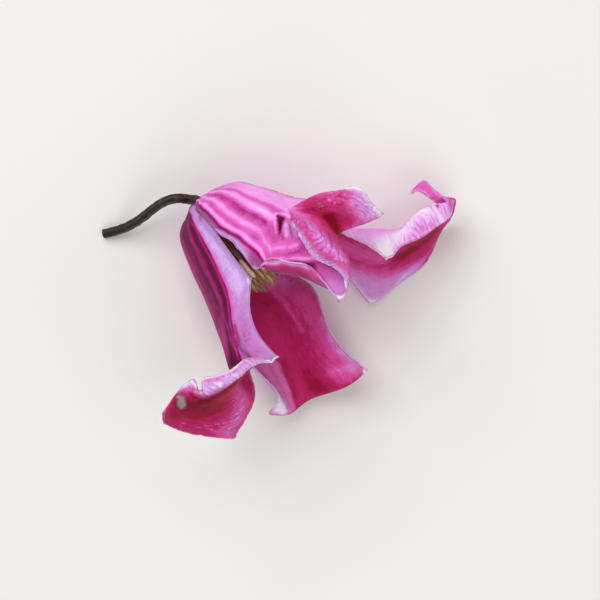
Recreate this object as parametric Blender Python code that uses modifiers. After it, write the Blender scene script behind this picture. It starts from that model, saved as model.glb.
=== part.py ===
"""A clematis flower, picked with a short piece of its stalk and lying on its back.

Four thick sepals make a nodding bell. The mouth of the bell points along +X and -Y, and the two front sepals
face +Z. Lengths below are in millimetres and become metres where a mesh or a curve is made.
"""

import math

import bpy
import numpy as np

MM = 0.001

# The bell: where the sepals join the stalk, which way the axis runs, and how it is raised towards the mouth.
BELL_BASE = (-16.2, 21.6)
ALONG = (0.66, -0.75)
ACROSS = (0.75, 0.66)
NOSE_UP = 0.2  # rise of the mouth for each millimetre along the axis
FLOOR_LIFT = 11.86  # height of the axis at the base above the surface that the flower lies on

# Half widths of the bell, as (distance along the axis, half width) on each side.
UPPER_SIDE = ((0, 1.85), (1.2, 6.2), (2.4, 8.6), (6, 11.3), (9.7, 13.5), (13.6, 15.6))
LOWER_SIDE = ((0, 1.85), (1.2, 4.0), (2.4, 6.3), (6, 8.5), (11, 10.2), (17, 11.9), (23, 14.2))
DEPTH_SIDE = ((0, 1.85), (1.2, 5.0), (2.4, 7.0), (6, 9.4), (11, 11.2), (17, 12.4), (23, 13.6))

# Sepals
SEPAL_THICKNESS = 0.6
SEPAL_GRID = (27, 11)  # points along and across each sepal
RAILS = (-1, -0.78, -0.45, 0, 0.45, 0.78, 1)  # margin, roll, rib, midrib, rib, roll, margin

# Stalk and the seat at its end. The route's heights are above the one at which the stalk lies on the surface.
STALK_RADIUS = 0.95
STALK_STEP = 1.6
STALK_ROUTE = ((-35.5, 15.2, 0), (-31.6, 16.3, 1.2), (-27.4, 18.6, 4.2), (-23.6, 21.3, 7.8), (-20.3, 22.3, 9.8))
STALK_NECK = (-17.9, 22.1, -0.5)
SEAT = ((0, 1.15), (1.2, 1.7), (2.2, 1.55), (3.2, 1.1), (4.0, 0.5))  # (distance along the axis, radius)
SEAT_GAP = 0.3

# Stamens stand in rings round the seat: (distance along the axis, length, reach of the tips from the axis)
STAMENS_PER_RING = 12
STAMEN_RINGS = ((0.9, 20.2, 4.6), (1.8, 21.4, 3.3), (2.7, 22.4, 2.2))
FILAMENT_RADIUS = 0.2
ANTHER_RADIUS = 0.42
ANTHER_LENGTH = 5.0

# Carpels stand on the end of the seat: one in the middle and a ring round it.
CARPELS = 7
CARPEL_LENGTH = 14.0
OVARY_RADIUS = 0.36
STYLE_RADIUS = 0.16


def spline_weights(knots, at):
    """The weights that turn values at the knots into values at the given places of a natural cubic spline."""
    knots, at = np.asarray(knots, float), np.asarray(at, float)
    count, gaps = len(knots), np.diff(knots)
    bending, change = np.eye(count), np.zeros((count, count))
    for i in range(1, count - 1):
        before, after = gaps[i - 1], gaps[i]
        bending[i, i - 1 : i + 2] = before, 2 * (before + after), after
        change[i, i - 1 : i + 2] = 6 / before, -6 / before - 6 / after, 6 / after
    bends = np.linalg.solve(bending, change)
    span = np.clip(np.searchsorted(knots, at, side="right") - 1, 0, count - 2)
    width = gaps[span]
    right = ((at - knots[span]) / width)[:, None]
    left = 1 - right
    ends = np.eye(count)
    curved = (left**3 - left) * bends[span] + (right**3 - right) * bends[span + 1]
    return left * ends[span] + right * ends[span + 1] + curved * (width**2)[:, None] / 6


def half_width(side, along):
    distances, widths = zip(*side)
    return np.interp(along, distances, widths)


def in_bell(along, across, depth):
    """Places given by distances along the bell's axis, across it and towards +Z, before the nose is raised."""
    x = BELL_BASE[0] + ALONG[0] * along + ACROSS[0] * across
    y = BELL_BASE[1] + ALONG[1] * along + ACROSS[1] * across
    return np.stack([x, y, depth], axis=-1)


def bell_row(along, first, last, shrink=1.0):
    """A row of points across a sepal on the bell, between two angles from +Z round the axis, in degrees."""
    turn = np.radians(first + (last - first) * (np.array(RAILS) + 1) / 2)
    upper, lower = half_width(UPPER_SIDE, along), half_width(LOWER_SIDE, along)
    across = np.where(np.sin(turn) > 0, upper, lower) * np.sin(turn) * shrink
    depth = half_width(DEPTH_SIDE, along) * np.cos(turn) * shrink
    return in_bell(np.full(len(RAILS), along), across, depth)


def narrow_row(middle, reach):
    """A straight row across a narrow strip: its middle point and the step from there to its last edge."""
    return np.array(middle) + np.array(RAILS)[:, None] * np.array(reach)


def laid_down(points):
    """Raises the mouth of the bell, and stands everything on the surface."""
    along = ALONG[0] * (points[..., 0] - BELL_BASE[0]) + ALONG[1] * (points[..., 1] - BELL_BASE[1])
    placed = np.array(points, float)
    placed[..., 2] += NOSE_UP * along + FLOOR_LIFT
    return placed * MM


# Each sepal is a smooth sheet through rows of points, from its base to its tip. A row has one point on each of
# the rails: the margin, the line where the margin rolls, a rib, the midrib, and the same again on the far half.
# The rows on the bell come from its half widths. The free end of each sepal opens, rolls and folds its own way.

# Front upper sepal, from the slit at the front. Its end folds back over itself and shows its inner face.
FRONT_UPPER = [
    bell_row(0, -8, 80),
    bell_row(1.2, -16, 83),
    bell_row(2.4, -10, 84),
    bell_row(5, -7.5, 85),
    bell_row(8.5, -4.6, 86),
    bell_row(12, 0.8, 87),
    [(-4.4, 8.0, 11.0), (-3.6, 10.2, 12.2), (-2.0, 13.2, 12.2), (1.8, 17.4, 11.4), (4.4, 20.3, 9.2),
     (5.3, 21.8, 6.2), (4.6, 22.0, 3.2)],
    [(-2.0, 9.8, 13.2), (-1.6, 7.8, 11.8), (-0.2, 10.5, 12.4), (4.4, 15.6, 13.6), (7.2, 19.0, 12.4),
     (7.8, 21.0, 9.4), (6.2, 21.4, 6.0)],
    [(3.0, 9.1, 14.6), (4.0, 6.7, 12.6), (5.0, 9.8, 12.6), (8.4, 15.0, 13.4), (11.8, 18.2, 12.4),
     (13.4, 20.0, 10.4), (11.6, 20.4, 7.5)],
    [(7.4, 7.4, 15.0), (9.0, 4.6, 13.4), (10.0, 9.2, 13.6), (10.8, 14.4, 13.7), (14.2, 16.9, 13.3),
     (16.9, 18.1, 12.2), (17.2, 18.6, 10.2)],
    [(12.7, 2.3, 14.7), (13.4, 4.2, 15.0), (13.8, 9.4, 15.8), (11.6, 14.4, 14.8), (14.8, 16.4, 15.6),
     (18.2, 17.6, 15.0), (20.2, 18.6, 13.6)],
    [(13.4, 5.4, 16.6), (14.0, 6.8, 17.4), (13.6, 9.9, 17.2), (11.1, 15.1, 15.6), (14.3, 17.1, 16.9),
     (17.7, 18.8, 16.5), (19.6, 20.2, 15.1)],
    [(7.6, 10.0, 17.6), (8.8, 10.6, 18.8), (9.8, 12.4, 19.6), (8.4, 17.4, 17.0), (11.4, 19.6, 19.0),
     (14.4, 22.0, 18.6), (15.2, 24.1, 17.0)],
    [(5.0, 13.6, 17.8), (5.6, 14.4, 18.8), (6.2, 15.6, 19.4), (5.4, 18.6, 17.8), (7.4, 20.2, 19.0),
     (10.2, 21.8, 18.6), (11.6, 23.3, 17.2)],
    [(3.0, 16.6, 17.8), (3.2, 17.4, 18.6), (3.2, 18.2, 19.0), (2.8, 19.4, 18.6), (4.2, 20.6, 19.0),
     (6.2, 21.7, 18.4), (7.8, 22.6, 17.0)],
    [(2.6, 17.6, 16.0), (2.7, 17.9, 16.0), (2.9, 18.3, 16.0), (3.2, 18.9, 15.8), (3.6, 19.5, 15.8),
     (4.0, 20.0, 15.8), (4.4, 20.4, 15.8)],
]

# Front lower sepal, from the slit at the front. Its end flares out to -X with the front margin rolled up.
FRONT_LOWER = [
    bell_row(0, -14, -100),
    bell_row(1.2, -21, -103),
    bell_row(2.4, -13.2, -104),
    bell_row(6, -9.5, -105),
    bell_row(11, -10.4, -105),
    bell_row(15, -10.8, -106),
    bell_row(19, -12.6, -107),
    bell_row(20.4, -17.0, -107.5),
    bell_row(22, -23, -108),
    [(-2.9, -6.6, 12.2), (-4.8, -7.4, 11.8), (-7.6, -8.0, 10.6), (-10.0, -8.6, 8.0), (-10.4, -8.2, 4.6),
     (-9.0, -8.2, 1.8), (-7.0, -8.0, 0.2)],
    [(-0.7, -9.5, 14.0), (-3.2, -10.0, 12.6), (-6.2, -10.8, 10.6), (-9.2, -11.8, 7.6), (-8.8, -12.6, 4.0),
     (-7.4, -12.8, 1.6), (-5.8, -12.6, 0.2)],
    [(-5.2, -9.7, 16.4), (-5.6, -11.2, 15.6), (-6.6, -12.8, 13.4), (-8.4, -15.0, 8.6), (-7.0, -16.6, 5.0),
     (-5.6, -17.4, 2.6), (-4.8, -17.8, 1.0)],
    [(-9.4, -12.2, 18.2), (-9.4, -13.4, 17.8), (-9.8, -15.0, 16.4), (-10.4, -18.2, 11.0), (-9.2, -21.0, 7.2),
     (-8.6, -23.2, 4.6), (-8.2, -24.4, 3.0)],
    [(-14.4, -13.7, 19.0), (-14.2, -15.2, 19.0), (-14.2, -17.2, 17.6), (-14.6, -20.0, 13.8),
     (-13.2, -22.8, 10.4), (-11.2, -24.6, 7.8), (-9.4, -25.7, 6.0)],
    [(-18.6, -15.2, 18.8), (-18.8, -16.4, 18.8), (-19.0, -17.8, 18.0), (-19.4, -20.2, 15.4),
     (-19.2, -22.2, 12.6), (-18.4, -23.6, 10.6), (-17.4, -24.6, 9.0)],
    narrow_row((-22.6, -21.6, 15.4), (0.1, -1.0, -1.2)),
]

# Back lower sepal, from its margin nearest the back upper one. Its end bends down and tucks under.
BACK_LOWER = [
    bell_row(0, -188, -110),
    bell_row(1.2, -188, -109),
    bell_row(2.4, -188, -110),
    bell_row(6, -188, -111),
    bell_row(11, -188, -112),
    bell_row(17, -190, -113),
    bell_row(23, -196, -115),
    [(7.2, 3.8, -9.5), (5.6, 2.4, -11.2), (2.6, 0.2, -13.2), (-0.6, -2.4, -14.4), (-3.8, -5.0, -12.6),
     (-6.0, -6.8, -9.0), (-7.4, -8.0, -5.6)],
    [(9.8, -3.0, -9.5), (8.2, -4.2, -11.6), (5.2, -5.8, -14.0), (1.2, -7.8, -15.4), (-2.4, -9.8, -13.8),
     (-4.4, -11.0, -10.6), (-5.2, -11.4, -7.0)],
    [(14.0, -9.2, -9.0), (11.6, -10.2, -11.0), (8.0, -11.8, -13.8), (4.0, -13.4, -15.6), (0.6, -15.0, -14.2),
     (-1.0, -16.0, -12.0), (-1.6, -15.2, -9.4)],
    [(16.4, -11.2, -9.0), (14.0, -12.4, -11.4), (10.2, -14.2, -14.2), (5.6, -15.8, -16.2), (2.4, -17.6, -15.2),
     (0.6, -18.8, -13.0), (0.0, -18.4, -10.6)],
    [(17.5, -12.6, -9.4), (15.6, -14.2, -11.6), (12.0, -16.0, -14.6), (6.8, -17.6, -16.8), (3.4, -19.8, -16.0),
     (1.2, -21.1, -13.6), (-1.4, -21.0, -11.4)],
    [(15.0, -11.6, -13.4), (13.6, -13.2, -15.4), (11.2, -15.2, -17.6), (7.2, -17.0, -19.2),
     (4.4, -18.6, -18.4), (2.2, -19.6, -17.0), (0.4, -19.6, -15.4)],
    [(11.6, -10.8, -16.2), (10.8, -12.0, -17.4), (9.4, -13.2, -18.8), (7.2, -14.2, -20.0),
     (5.2, -15.0, -19.4), (4.2, -15.2, -18.6), (3.4, -15.2, -17.6)],
    narrow_row((7.6, -10.7, -18.8), (-0.6, -0.3, 0.0)),
]

# Back upper sepal, from its upper margin, which is folded inwards. Its end flares out to +X and runs into a
# narrow curled ribbon.
BACK_UPPER = [
    bell_row(0, 88, 162),
    bell_row(1.2, 90, 166, 0.95),
    bell_row(2.4, 90, 167, 0.95),
    bell_row(6, 91, 168, 0.95),
    bell_row(11, 92, 168, 0.95),
    [(8.4, 18.8, 2.0), (9.2, 18.0, -1.0), (9.4, 16.6, -4.4), (8.2, 14.2, -8.4), (6.8, 12.0, -11.0),
     (5.8, 10.4, -12.0), (5.2, 9.4, -12.2)],
    [(14.2, 14.6, 1.0), (14.0, 16.0, -1.0), (14.8, 14.4, -6.0), (15.6, 11.8, -11.0), (15.6, 9.2, -14.0),
     (15.2, 7.2, -15.2), (14.8, 5.6, -15.4)],
    [(18.3, 12.6, -0.4), (17.2, 15.8, -2.3), (17.8, 13.7, -7.9), (18.6, 10.5, -12.5), (18.5, 7.4, -15.3),
     (17.8, 4.7, -16.4), (17.0, 2.9, -16.5)],
    [(21.6, 10.5, -1.5), (20.2, 15.6, -3.4), (20.6, 13.2, -9.4), (21.4, 9.8, -13.6), (21.2, 6.4, -16.4),
     (20.2, 3.4, -17.4), (19.1, 1.4, -17.4)],
    [(24.4, 12.4, -2.6), (24.8, 16.0, -4.0), (25.2, 13.8, -10.0), (26.6, 11.8, -14.6), (26.6, 9.4, -17.2),
     (25.6, 7.4, -18.4), (24.4, 5.1, -18.6)],
    [(28.4, 14.3, -3.6), (27.8, 18.7, -4.0), (29.2, 16.2, -10.5), (30.6, 14.6, -15.5), (31.0, 13.0, -18.0),
     (30.9, 11.4, -19.0), (30.1, 9.6, -19.0)],
    [(32.1, 16.8, -5.2), (31.4, 20.5, -5.0), (32.6, 18.4, -11.0), (33.6, 17.6, -15.0), (33.4, 16.6, -17.4),
     (32.6, 15.6, -18.6), (31.8, 14.4, -18.8)],
    [(34.9, 19.6, -8.2), (35.3, 21.6, -8.4), (35.6, 21.8, -9.8), (35.4, 21.2, -12.0), (35.4, 20.4, -13.6),
     (35.2, 19.4, -15.0), (34.8, 18.4, -15.8)],
    narrow_row((32.6, 22.1, -9.0), (-0.3, -0.8, -0.7)),
    narrow_row((30.5, 23.6, -7.4), (-0.5, -0.75, 0.1)),
    narrow_row((28.7, 24.8, -6.2), (-0.5, -1.0, 0.4)),
    narrow_row((27.1, 23.7, -5.4), (-0.3, -0.4, 0.3)),
]


def clear_scene():
    for obj in list(bpy.data.objects):
        bpy.data.objects.remove(obj)


def make_collection(name):
    collection = bpy.data.collections.new(name)
    bpy.context.scene.collection.children.link(collection)
    return collection


def make_material(name, colour, roughness, metallic=0.0):
    material = bpy.data.materials.new(name)
    material.use_nodes = True
    shader = material.node_tree.nodes["Principled BSDF"]
    shader.inputs["Base Color"].default_value = (*colour, 1)
    shader.inputs["Roughness"].default_value = roughness
    shader.inputs["Metallic"].default_value = metallic
    return material


def sheet_points(rows):
    """A grid of points on the smooth sheet through the rows, evenly spaced along its length."""
    net = np.array([np.asarray(row, float) for row in rows])
    steps = np.linalg.norm(np.diff(net, axis=0), axis=2).mean(axis=1)
    stations = np.concatenate([[0], np.cumsum(steps)])
    along = spline_weights(stations, np.linspace(0, stations[-1], SEPAL_GRID[0]))
    across = spline_weights(RAILS, np.linspace(RAILS[0], RAILS[-1], SEPAL_GRID[1]))
    return laid_down(np.einsum("ai,bj,ijk->abk", along, across, net))


def make_sepal(name, rows, material, collection):
    """An open sheet of four-sided faces, given its thickness by Solidify."""
    points = sheet_points(rows)
    count = SEPAL_GRID[1]
    corners = [i * count + j for i in range(SEPAL_GRID[0] - 1) for j in range(count - 1)]
    faces = [(c, c + 1, c + count + 1, c + count) for c in corners]
    mesh = bpy.data.meshes.new(name)
    mesh.from_pydata(points.reshape(-1, 3).tolist(), [], faces)
    mesh.materials.append(material)
    mesh.shade_smooth()
    sepal = bpy.data.objects.new(name, mesh)
    collection.objects.link(sepal)
    wall = sepal.modifiers.new("thickness", "SOLIDIFY")
    wall.thickness = SEPAL_THICKNESS * MM
    wall.offset = 0


def make_rod(name, points, radii, material, collection, sides_step=1):
    """A round rod along the points, thicker and thinner as the radii say, closed at both ends."""
    curve = bpy.data.curves.new(name, "CURVE")
    curve.dimensions = "3D"
    curve.bevel_depth = MM
    curve.bevel_resolution = sides_step
    curve.use_fill_caps = True
    spline = curve.splines.new("POLY")
    spline.points.add(len(points) - 1)
    for point, place, radius in zip(spline.points, laid_down(points), radii):
        point.co = (*place, 1)
        point.radius = radius
    curve.materials.append(material)
    rod = bpy.data.objects.new(name, curve)
    collection.objects.link(rod)


def make_stalk(material, collection):
    """The stalk arches up from its cut end, and widens inside the bell into the seat that carries the flower."""
    cut_end = laid_down(np.array([*STALK_ROUTE[0][:2], STALK_RADIUS])) / MM
    on_floor = 2 * STALK_RADIUS - cut_end[2]
    route = [(x, y, on_floor + height) for x, y, height in STALK_ROUTE] + [STALK_NECK]
    seat = [in_bell(along, 0.0, 0.0) for along, _ in SEAT]
    places = np.array(route + [tuple(place) for place in seat])
    widths = np.array([STALK_RADIUS] * len(route) + [radius for _, radius in SEAT])
    steps = np.linalg.norm(np.diff(places, axis=0), axis=1)
    stations = np.concatenate([[0], np.cumsum(steps)])
    count = round(stations[-1] / STALK_STEP) + 1
    even = np.linspace(0, stations[len(route) - 1], count)
    even = np.concatenate([even, stations[len(route) :]])
    points = spline_weights(stations, even) @ places
    radii = np.interp(even, stations, widths)
    make_rod("stalk", points, radii, material, collection, sides_step=3)


def seat_radius(along):
    return half_width(SEAT, along)


def bell_rod(turn, stations):
    """Points round the bell's axis at one angle from +Z, from (distance along, distance from the axis) pairs."""
    along, reach = np.array(stations, float).T
    return in_bell(along, reach * math.sin(turn), reach * math.cos(turn))


def make_stamens(material, collection):
    """Each stamen is a slender filament that bends up from the side of the seat, with a long anther at its end."""
    radii = [FILAMENT_RADIUS] * 4 + [ANTHER_RADIUS, ANTHER_RADIUS, FILAMENT_RADIUS]
    for ring, (foot, length, reach) in enumerate(STAMEN_RINGS):
        start = seat_radius(foot) + SEAT_GAP + FILAMENT_RADIUS
        for number in range(STAMENS_PER_RING):
            turn = 2 * math.pi * (number + 0.5 * ring) / STAMENS_PER_RING - math.radians(18)
            tip = length + 0.5 * math.sin(5 * turn)
            stations = [(foot, start), (foot + 0.5, start + 0.5), (foot + 3, 0.5 * (start + reach)),
                        (tip - ANTHER_LENGTH - 0.6, 0.96 * reach), (tip - ANTHER_LENGTH + 0.4, reach),
                        (tip - 0.8, reach + 0.1), (tip, reach + 0.1)]
            name = f"stamen_{ring * STAMENS_PER_RING + number + 1:02d}"
            make_rod(name, bell_rod(turn, stations), radii, material, collection)


def make_carpels(material, collection):
    """Each carpel is a small ovary that narrows into a long style."""
    radii = [0.6 * OVARY_RADIUS, OVARY_RADIUS, OVARY_RADIUS, STYLE_RADIUS, STYLE_RADIUS, 0.6 * STYLE_RADIUS]
    for number in range(CARPELS):
        on_axis = number == 0
        foot = SEAT[-1][0] + SEAT_GAP if on_axis else SEAT[-2][0] + 0.5
        start = 0 if on_axis else seat_radius(foot) + SEAT_GAP + OVARY_RADIUS
        reach = 0 if on_axis else 1.15
        turn = 2 * math.pi * number / (CARPELS - 1)
        stations = [(foot, start), (foot + 0.7, 0.5 * (start + reach)), (foot + 2, reach), (foot + 3.2, reach),
                    (foot + 8, reach), (foot + CARPEL_LENGTH, reach)]
        make_rod(f"carpel_{number + 1}", bell_rod(turn, stations), radii, material, collection)


def main():
    clear_scene()
    flower = make_collection("clematis_flower")
    upper = make_material("sepal_pink", (0.78, 0.13, 0.45), 0.5)
    lower = make_material("sepal_purple", (0.36, 0.03, 0.16), 0.5)
    inner = make_material("sepal_crimson", (0.4, 0.02, 0.1), 0.5)
    make_sepal("sepal_front_upper", FRONT_UPPER, upper, flower)
    make_sepal("sepal_front_lower", FRONT_LOWER, lower, flower)
    make_sepal("sepal_back_lower", BACK_LOWER, inner, flower)
    make_sepal("sepal_back_upper", BACK_UPPER, inner, flower)
    make_stalk(make_material("stalk_brown", (0.1, 0.03, 0.02), 0.45), flower)
    make_stamens(make_material("stamen_tan", (0.45, 0.28, 0.12), 0.7), flower)
    make_carpels(make_material("carpel_green", (0.32, 0.34, 0.14), 0.7), flower)


main()
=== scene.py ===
import math

import bpy
import numpy as np
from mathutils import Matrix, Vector


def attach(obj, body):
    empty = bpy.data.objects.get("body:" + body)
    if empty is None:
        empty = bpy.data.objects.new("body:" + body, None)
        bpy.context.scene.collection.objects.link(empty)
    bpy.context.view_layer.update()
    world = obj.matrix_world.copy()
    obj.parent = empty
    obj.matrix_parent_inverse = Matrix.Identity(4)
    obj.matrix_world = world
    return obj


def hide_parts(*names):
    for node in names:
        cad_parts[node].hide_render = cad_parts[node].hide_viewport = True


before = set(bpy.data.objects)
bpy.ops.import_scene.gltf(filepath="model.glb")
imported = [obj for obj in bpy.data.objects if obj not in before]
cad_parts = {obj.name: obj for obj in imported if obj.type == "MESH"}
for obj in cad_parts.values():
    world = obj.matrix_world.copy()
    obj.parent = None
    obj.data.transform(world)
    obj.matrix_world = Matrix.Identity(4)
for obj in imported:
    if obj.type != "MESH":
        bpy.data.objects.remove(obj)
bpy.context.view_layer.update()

# Sizes are in millimetres and become metres when a mesh is filled.
mm = 0.001
scene = bpy.context.scene


# Smooth step: 0 below low, 1 above high, and 3t^2 - 2t^3 between.
def easeBetween(value, low, high):
    t = np.clip((value - low) / (high - low), 0, 1)
    return t * t * (3 - 2 * t)


# Soft noise over two coordinates: the sum of many sine waves that run in random directions, each about one
# unit long, over the square root of half their number, so that it mostly stays between -2 and 2.
def softNoise(x, y, seed, waves=26):
    rng = np.random.default_rng(seed)
    heading = rng.uniform(0, 2 * math.pi, waves)
    pace = 2 * math.pi * rng.uniform(0.55, 1.15, waves)
    phase = rng.uniform(0, 2 * math.pi, waves)
    total = np.zeros(np.broadcast(x, y).shape)
    for turn, rate, shift in zip(heading, pace, phase):
        total += np.sin(rate * (x * math.cos(turn) + y * math.sin(turn)) + shift)
    return total / math.sqrt(waves / 2)


# Natural cubic spline as weights: the values at the given places are weights @ values at the knots. The bends
# at the knots come from one linear system; each span blends its two ends and their bends.
def splineWeights(knots, at):
    knots, at = np.asarray(knots, float), np.asarray(at, float)
    count, gaps = len(knots), np.diff(knots)
    bending, change = np.eye(count), np.zeros((count, count))
    for i in range(1, count - 1):
        before, after = gaps[i - 1], gaps[i]
        bending[i, i - 1 : i + 2] = before, 2 * (before + after), after
        change[i, i - 1 : i + 2] = 6 / before, -6 / before - 6 / after, 6 / after
    bends = np.linalg.solve(bending, change)
    span = np.clip(np.searchsorted(knots, at, side="right") - 1, 0, count - 2)
    width = gaps[span]
    right = ((at - knots[span]) / width)[:, None]
    left = 1 - right
    ends = np.eye(count)
    curved = (left**3 - left) * bends[span] + (right**3 - right) * bends[span + 1]
    return left * ends[span] + right * ends[span + 1] + curved * (width**2)[:, None] / 6


# Each vector divided by its own length.
def unit(vectors):
    return vectors / np.maximum(np.linalg.norm(vectors, axis=-1, keepdims=True), 1e-12)


bell = {
    "base": (-16.2, 21.6),  # where the sepals join the stalk
    "along": (0.66, -0.75),
    "across": (0.75, 0.66),
    "noseUp": 0.2,  # rise of the mouth for each millimetre along the axis
    "lift": 11.86,  # height of the axis at the base above the surface
    # (distance along the axis, half width) on each side
    "upper": ((0, 1.85), (1.2, 6.2), (2.4, 8.6), (6, 11.3), (9.7, 13.5), (13.6, 15.6)),
    "lower": ((0, 1.85), (1.2, 4.0), (2.4, 6.3), (6, 8.5), (11, 10.2), (17, 11.9), (23, 14.2)),
    "depth": ((0, 1.85), (1.2, 5.0), (2.4, 7.0), (6, 9.4), (11, 11.2), (17, 12.4), (23, 13.6)),
}
rails = (-1, -0.78, -0.45, 0, 0.45, 0.78, 1)  # margin, roll, rib, midrib, rib, roll, margin


# The bell's half width at a distance along its axis, on straight lines between the widths listed for a side.
def halfWidth(side, along):
    distances, widths = zip(*bell[side])
    return np.interp(along, distances, widths)


# A place in the bell: base + along * axis + across * the direction across it, at a height from the axis.
def inBell(along, across, height):
    x = bell["base"][0] + bell["along"][0] * along + bell["across"][0] * across
    y = bell["base"][1] + bell["along"][1] * along + bell["across"][1] * across
    return np.stack([x, y, height], axis=-1)


# A row of points across a sepal: an arc round the axis between two angles from +Z, in degrees, on the oval
# whose half widths the bell has there, times the shrink.
def bellRow(along, first, last, shrink=1.0):
    turn = np.radians(first + (last - first) * (np.array(rails) + 1) / 2)
    wide = np.where(np.sin(turn) > 0, halfWidth("upper", along), halfWidth("lower", along))
    across = wide * np.sin(turn) * shrink
    height = halfWidth("depth", along) * np.cos(turn) * shrink
    return inBell(np.full(len(rails), along), across, height)


# A straight row: the middle point plus each rail's share of the step to the last edge.
def narrowRow(middle, reach):
    return np.array(middle) + np.array(rails)[:, None] * np.array(reach)


# Laid on the surface: z + noseUp * distance along the axis + lift.
def laidDown(points):
    x, y = points[..., 0] - bell["base"][0], points[..., 1] - bell["base"][1]
    placed = np.array(points, float)
    placed[..., 2] += bell["noseUp"] * (bell["along"][0] * x + bell["along"][1] * y) + bell["lift"]
    return placed


# Fills a mesh from arrays: points (n, 3) in millimetres, a list of arrays of corners with one row for each
# face, and one value or vector for each point under each attribute's name.
def fillMesh(name, points, faces, material, attributes=None):
    mesh = bpy.data.meshes.new(name)
    mesh.vertices.add(len(points))
    mesh.vertices.foreach_set("co", (points * mm).astype(np.float32).ravel())
    corners = np.concatenate([part.ravel() for part in faces]).astype(np.int32)
    sizes = np.concatenate([np.full(len(part), part.shape[1]) for part in faces])
    starts = np.concatenate([[0], np.cumsum(sizes)[:-1]]).astype(np.int32)
    mesh.loops.add(len(corners))
    mesh.loops.foreach_set("vertex_index", corners)
    mesh.polygons.add(len(sizes))
    mesh.polygons.foreach_set("loop_start", starts)
    mesh.update(calc_edges=True)
    mesh.shade_smooth()
    for key, values in (attributes or {}).items():
        values = np.asarray(values, np.float32)
        kind, field = ("FLOAT_VECTOR", "vector") if values.ndim == 2 else ("FLOAT", "value")
        mesh.attributes.new(key, kind, "POINT").data.foreach_set(field, values.ravel())
    mesh.materials.append(material)
    piece = bpy.data.objects.new(name, mesh)
    scene.collection.objects.link(piece)
    return piece


# The corners of the quads of a grid of rows x columns points, in order round each quad.
def gridFaces(rows, columns, wrap=False):
    across = columns if wrap else columns - 1
    i, j = np.meshgrid(np.arange(rows - 1), np.arange(across), indexing="ij")
    right = (j + 1) % columns
    corners = [i * columns + j, i * columns + right, (i + 1) * columns + right, (i + 1) * columns + j]
    return np.stack(corners, axis=-1).reshape(-1, 4)


# A colour written as #rrggbb, turned to linear light.
def hexColour(text):
    parts = [int(text[i : i + 2], 16) / 255 for i in (1, 3, 5)]
    return (*(c / 12.92 if c <= 0.04045 else ((c + 0.055) / 1.055) ** 2.4 for c in parts), 1.0)


def addNode(tree, kind, **settings):
    node = tree.nodes.new(kind)
    for key, value in settings.items():
        setattr(node, key, value)
    return node


# A Math node; each input is a number or another node's output.
def addMath(tree, operation, *inputs, clamp=False):
    node = addNode(tree, "ShaderNodeMath", operation=operation, use_clamp=clamp)
    for socket, value in zip(node.inputs, inputs):
        feed(tree, socket, value)
    return node.outputs[0]


# An output is linked to the socket, and a number, vector or colour becomes its own value.
def feed(tree, socket, value):
    if isinstance(value, bpy.types.NodeSocket):
        tree.links.new(value, socket)
    else:
        socket.default_value = value


def addMix(tree, amount, first, second):
    node = addNode(tree, "ShaderNodeMix", data_type="RGBA")
    feed(tree, node.inputs["Factor"], amount)
    feed(tree, node.inputs["A"], first)
    feed(tree, node.inputs["B"], second)
    return node.outputs["Result"]


def addNoise(tree, vector, detail, roughness):
    node = addNode(tree, "ShaderNodeTexNoise")
    feed(tree, node.inputs["Vector"], vector)
    node.inputs["Scale"].default_value = 1.0
    node.inputs["Detail"].default_value = detail
    node.inputs["Roughness"].default_value = roughness
    return node.outputs["Fac"]


# The vector times one number for each axis.
def addStretch(tree, vector, scale):
    node = addNode(tree, "ShaderNodeVectorMath", operation="MULTIPLY")
    feed(tree, node.inputs[0], vector)
    node.inputs[1].default_value = scale
    return node.outputs[0]


def addRamp(tree, value, stops):
    node = addNode(tree, "ShaderNodeValToRGB")
    node.color_ramp.interpolation = "EASE"
    while len(node.color_ramp.elements) < len(stops):
        node.color_ramp.elements.new(0.5)
    for element, (place, colour) in zip(node.color_ramp.elements, stops):
        element.position = place
        element.color = hexColour(colour)
    feed(tree, node.inputs["Fac"], value)
    return node.outputs["Color"]


def readAttribute(tree, name, output="Fac"):
    return addNode(tree, "ShaderNodeAttribute", attribute_name=name).outputs[output]


def newGroup(name, inputs, outputs):
    tree = bpy.data.node_groups.new(name, "ShaderNodeTree")
    for socketName, kind in inputs:
        tree.interface.new_socket(socketName, in_out="INPUT", socket_type=kind)
    for socketName, kind in outputs:
        tree.interface.new_socket(socketName, in_out="OUTPUT", socket_type=kind)
    return tree, addNode(tree, "NodeGroupInput"), addNode(tree, "NodeGroupOutput")


def useGroup(tree, group, **inputs):
    node = addNode(tree, "ShaderNodeGroup", node_tree=group)
    for key, value in inputs.items():
        feed(tree, node.inputs[key], value)
    return node


def newMaterial(name):
    material = bpy.data.materials.new(name)
    material.use_nodes = True
    tree = material.node_tree
    return material, tree, tree.nodes["Principled BSDF"]


# The patterns of the grain: cells to the millimetre (along, across, through), detail and roughness.
plantGrain = {
    "Streaks": ((0.12, 1.7, 1.0), 3.0, 0.6),
    "Folds": ((1.9, 0.45, 1.0), 3.0, 0.55),
    "Cells": ((4.5, 4.5, 4.5), 2.0, 0.6),
}


# Roughness, sheen and bump of a skin: the grain's height runs between its two roughnesses and makes the bump.
def finishSkin(tree, shader, height, look):
    smooth, rough = look["roughness"]
    roughness = addMath(tree, "MULTIPLY_ADD", height, rough - smooth, smooth)
    tree.links.new(roughness, shader.inputs["Roughness"])
    shader.inputs["Sheen Weight"].default_value = look["sheen"]
    bumps = addNode(tree, "ShaderNodeBump")
    bumps.inputs["Distance"].default_value = look["bump"] * mm
    tree.links.new(height, bumps.inputs["Height"])
    tree.links.new(bumps.outputs["Normal"], shader.inputs["Normal"])


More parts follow.
